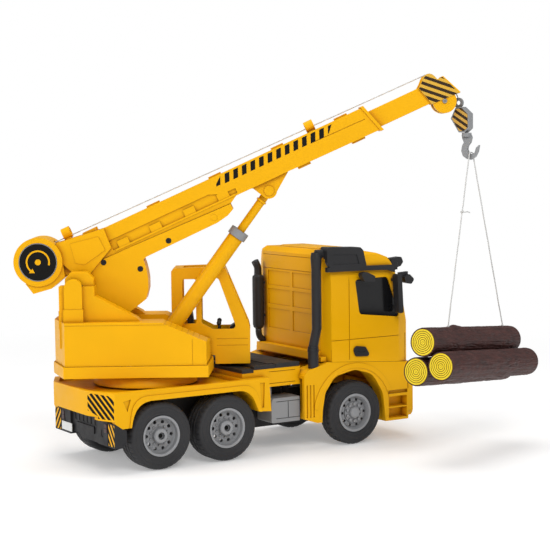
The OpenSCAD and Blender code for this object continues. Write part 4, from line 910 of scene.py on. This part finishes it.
def log_end(name, middle, seed, end, tag):
    """Bark lip and ringed face; end is -1 or 1 along the log."""
    def place(y, z, depth):
        return on_load(middle[0] + end * LOG_LENGTH / 2 + end * depth, y, z)

    def uneven(angle, r, depth):
        if 1 < r < LOG_R - 1.4:
            spot = Vector((math.cos(angle) * 1.3, math.sin(angle) * 1.3, seed * 3 + end))
            r *= 1 + 0.02 * noise.noise(spot)
        return r, depth

    shared = {"centre": middle[1:], "closed": False}
    turned(name + "_lip_" + tag, LIP, place, 120, "bark", "hook_and_load", smooth=True, **shared)
    profile = ring_profile()
    rings = turned(name + "_rings_" + tag, profile, place, 120, "ring", "hook_and_load",
                   shape=uneven, **shared)
    rings.data.materials.append(MATERIALS["groove"])
    bands = len(profile) - 1
    for i, polygon in enumerate(rings.data.polygons):
        band = i % bands
        # each ring is one flat band followed by three groove bands
        if 2 <= band < bands - 1 and (band - 2) % 4 >= 1:
            polygon.material_index = 1


def log(seed, middle, knots):
    name = "log_%d" % seed
    n = LOG_AROUND
    verts, faces = [], []
    for j in range(LOG_ALONG + 1):
        x = -LOG_LENGTH / 2 + LOG_LENGTH * j / LOG_ALONG
        for i in range(n):
            angle = 2 * math.pi * i / n
            radius = bark_radius(x, angle, seed, knots)
            verts.append(on_load(middle[0] + x, *polar(radius, angle, middle[1:])))
    for j in range(LOG_ALONG):
        for i in range(n):
            k = (i + 1) % n
            faces.append([j * n + i, (j + 1) * n + i, (j + 1) * n + k, j * n + k])
    add(name, verts, faces, "bark", "hook_and_load", smooth=True, replaces="logs")
    for end, tag in ((-1, "near"), (1, "far")):
        log_end(name, middle, seed, end, tag)


# -------------------------------------------------------------------- sling
# Hook bowl in load coordinates
BOWL_RISE = SHEAVE_Z - BOWL_DROP - LOAD_Z
SLING_X = -math.sin(LOAD_TILT) * BOWL_RISE
SLING_Z = LOAD_Z + math.cos(LOAD_TILT) * BOWL_RISE
CORD_SPREAD = 2.7  # start of each cord either side of the bowl
CORD_END_Z = TOP_LOG_Z + 13.3
NEAR_X, FAR_X = -36, 61  # where the cords meet the top log
MID_KNOT = 0.34  # share of the way down the near cord
BIGHT = [(-3.0, 0.55), (-1.6, 0.95), (0, 1.0), (1.6, 0.95), (3.0, 0.55)]  # (x, z) from the bowl
LOOSE_END = [(0, 0, 0), (3.0, -0.6, -0.3), (6.5, -1.6, 0.5), (9.5, -2.2, -0.3)]  # from the knot


def knot(name, centre, radius, phase):
    """Closed knotted loop of cord; phase turns the unevenness of its section."""
    n, m = 28, 10  # steps along the cord and round it

    def path(t):
        swell = 1.0 + 0.42 * math.cos(3 * t)
        x, y = swell * math.cos(2 * t), swell * math.sin(2 * t)
        return Vector((x, y, 0.55 * math.sin(3 * t))) * radius

    verts, faces = [], []
    for i in range(n):
        t = 2 * math.pi * i / n
        point = path(t)
        ahead = (path(t + 0.01) - point).normalized()
        across = ahead.orthogonal().normalized()
        up = ahead.cross(across)
        for k in range(m):
            a = 2 * math.pi * k / m
            section = 0.5 * (1 + 0.04 * math.sin(5 * a + phase))
            v = point + (across * math.cos(a) + up * math.sin(a)) * section
            verts.append(on_load(centre[0] + v.x, centre[1] + v.y, centre[2] + v.z))
    for i in range(n):
        j = (i + 1) % n
        # start each ring at the shift that lines it up best, so the tube does not twist
        shift = min(range(m), key=lambda s: sum(
            (verts[i * m + k] - verts[j * m + (k + s) % m]).length for k in range(m)))
        for k in range(m):
            l = (k + 1) % m
            faces.append([i * m + k, i * m + l, j * m + (l + shift) % m, j * m + (k + shift) % m])
    add(name, verts, faces, "cord", "hook_and_load", smooth=True)


def sling():
    """Two cords from the hook bowl to the top log, the bight over the hook, and a loose end."""
    for x, direction, tag in ((NEAR_X, -1, "near"), (FAR_X, 1, "far")):
        start = on_load(SLING_X + direction * CORD_SPREAD, 0.0, SLING_Z + 0.8)
        end = on_load(x, TOP_LOG_Y, CORD_END_Z)
        tube("sling_cord_" + tag, [start, end], 0.56, "cord", "hook_and_load", sides=10,
             twist=0.06, subdiv=150, replaces="load_sling")
        knot("sling_knot_" + tag, (x, TOP_LOG_Y, TOP_LOG_Z + 13.1), radius=0.55, phase=1.0)
    bight = [on_load(SLING_X + x, 0, SLING_Z + z) for x, z in BIGHT]
    tube("sling_bight", bight, 0.52, "cord", "hook_and_load", sides=10, twist=0.45, subdiv=6)
    x = (SLING_X - CORD_SPREAD) * (1 - MID_KNOT) + NEAR_X * MID_KNOT
    y = TOP_LOG_Y * MID_KNOT
    z = SLING_Z * (1 - MID_KNOT) + CORD_END_Z * MID_KNOT
    knot("sling_knot_mid", (x, y, z), radius=0.95, phase=2.0)
    points = [on_load(x + dx, y + dy, z + dz) for dx, dy, dz in LOOSE_END]
    tube("sling_loose_end", points, 0.45, "cord", "hook_and_load", sides=8, twist=0.4, subdiv=5)


# ------------------------------------------------------------ stage, metres
FLOOR_HALF = 40
FLOOR_CELLS = 12
LIGHT_TARGET = (0.09, -0.02, 0.1)
# (name, location, size, power in watts)
LIGHTS = [
    ("key", (-0.4, -1.6, 1.3), (0.9, 0.8), 17.2),
    ("fill", (-1.8, 0.35, 0.8), (1.0, 1.0), 13.2),
    ("top", (0.1, 0.2, 1.9), (1.4, 1.2), 17),
    ("right", (1.6, -0.9, 0.9), (1.0, 1.2), 3),
]


def floor_material():
    """Pale floor that melts into the white backdrop away from the toy."""
    material, tree, shader, coords = new_material("studio_floor")
    slow = noise_texture(tree, coords, scale=30)
    greys = [(0.3, (0.79, 0.79, 0.79)), (0.7, (0.81, 0.81, 0.81))]
    feed_all(tree, shader, {
        "Base Color": colour_ramp(tree, slow, greys),
        "Roughness": 0.6,
        "Specular IOR Level": 0.3,
        "Emission Color": (1, 1, 1, 1),
        "Emission Strength": 0.27,
    })
    distance = node(tree, "VectorMath", {0: coords}, operation="LENGTH").outputs["Value"]
    far = remap(tree, distance, 0.0, 1.0, from_min=0.42, from_max=1.0)
    white = node(tree, "Emission", {"Strength": 1.0})
    surface = shader.outputs[0].links[0].to_socket
    mix = node(tree, "MixShader", {0: far, 1: shader.outputs[0], 2: white.outputs[0]})
    tree.links.new(mix.outputs[0], surface)
    return material


def studio_floor():
    n, half = FLOOR_CELLS, FLOOR_HALF
    row = n + 1
    z = -BASE * MM - 0.0001
    verts = [(-half + 2 * half * i / n, -half + 2 * half * j / n, z)
             for j in range(row) for i in range(row)]
    faces = [(j * row + i, j * row + i + 1, (j + 1) * row + i + 1, (j + 1) * row + i)
             for j in range(n) for i in range(n)]
    mesh = bpy.data.meshes.new("floor")
    mesh.from_pydata(verts, [], faces)
    floor = link_mesh("floor", mesh)
    mesh.materials.append(floor_material())


def studio_world():
    """Soft light from all round; the camera itself sees plain white."""
    world = bpy.data.worlds.new("studio")
    bpy.context.scene.world = world
    world.use_nodes = True
    tree = world.node_tree
    tree.nodes.clear()
    output = node(tree, "OutputWorld")
    soft = node(tree, "Background", {"Strength": 0.36})
    seen = node(tree, "Background", {"Color": (1, 1, 1, 1), "Strength": 1.0})
    coords = node(tree, "TexCoord").outputs["Generated"]
    upright = node(tree, "Mapping", {"Vector": coords, "Rotation": (0, math.radians(90), 0)})
    gradient = node(tree, "TexGradient", {"Vector": upright.outputs[0]}).outputs["Fac"]
    stops = [(0.0, (0.95, 0.95, 0.96)), (1.0, (1.0, 1.0, 1.0))]
    feed(tree, soft.inputs["Color"], colour_ramp(tree, gradient, stops))
    camera_ray = node(tree, "LightPath").outputs["Is Camera Ray"]
    mix = node(tree, "MixShader", {0: camera_ray, 1: soft.outputs[0], 2: seen.outputs[0]})
    tree.links.new(mix.outputs[0], output.inputs[0])


def area_light(name, location, size, power):
    light = bpy.data.lights.new(name, "AREA")
    light.shape = "RECTANGLE"
    light.size, light.size_y = size
    light.energy = power
    lamp = link_mesh(name, light)
    lamp.location = location
    lamp.rotation_mode = "QUATERNION"
    aim = Vector(LIGHT_TARGET) - Vector(location)
    lamp.rotation_quaternion = aim.to_track_quat("-Z", "Y")


def studio_camera():
    """Camera behind the truck on its right, looking forwards and slightly down."""
    lens = bpy.data.cameras.new("camera")
    camera = link_mesh("camera", lens)
    lens.sensor_width = 36
    lens.lens = 100.532153
    lens.clip_start, lens.clip_end = 0.05, 100
    right = Vector((0.849129, -0.528038, -0.01249))
    up = Vector((0.053088, 0.061796, 0.996676))
    forward = Vector((0.525511, 0.846969, -0.080505))
    place = on_truck(-621.42883, -1223.87947, 273.29038)
    rows = [(right[i], up[i], -forward[i], place[i]) for i in range(3)]
    camera.matrix_world = Matrix((*rows, (0, 0, 0, 1)))
    scene = bpy.context.scene
    scene.camera = camera
    scene.view_settings.view_transform = "Standard"
    scene.view_settings.look = "None"


# -------------------------------------------------------------------- build
dress_cad()
for tyre_row in TYRES:
    tyre(*tyre_row)
rear_markings()
tread_mats()
boom_marking()
boom_clips()
turntable_collar()
exhaust()
inner_boom()
hook_block_plates()
winch_discs()
boom_rope()
for number, (log_middle, log_knots) in enumerate(LOGS, start=1):
    log(number, log_middle, log_knots)
falls()
sling()
rear_plate_and_lamps()
studio_floor()
studio_world()
for light_row in LIGHTS:
    area_light(*light_row)
studio_camera()
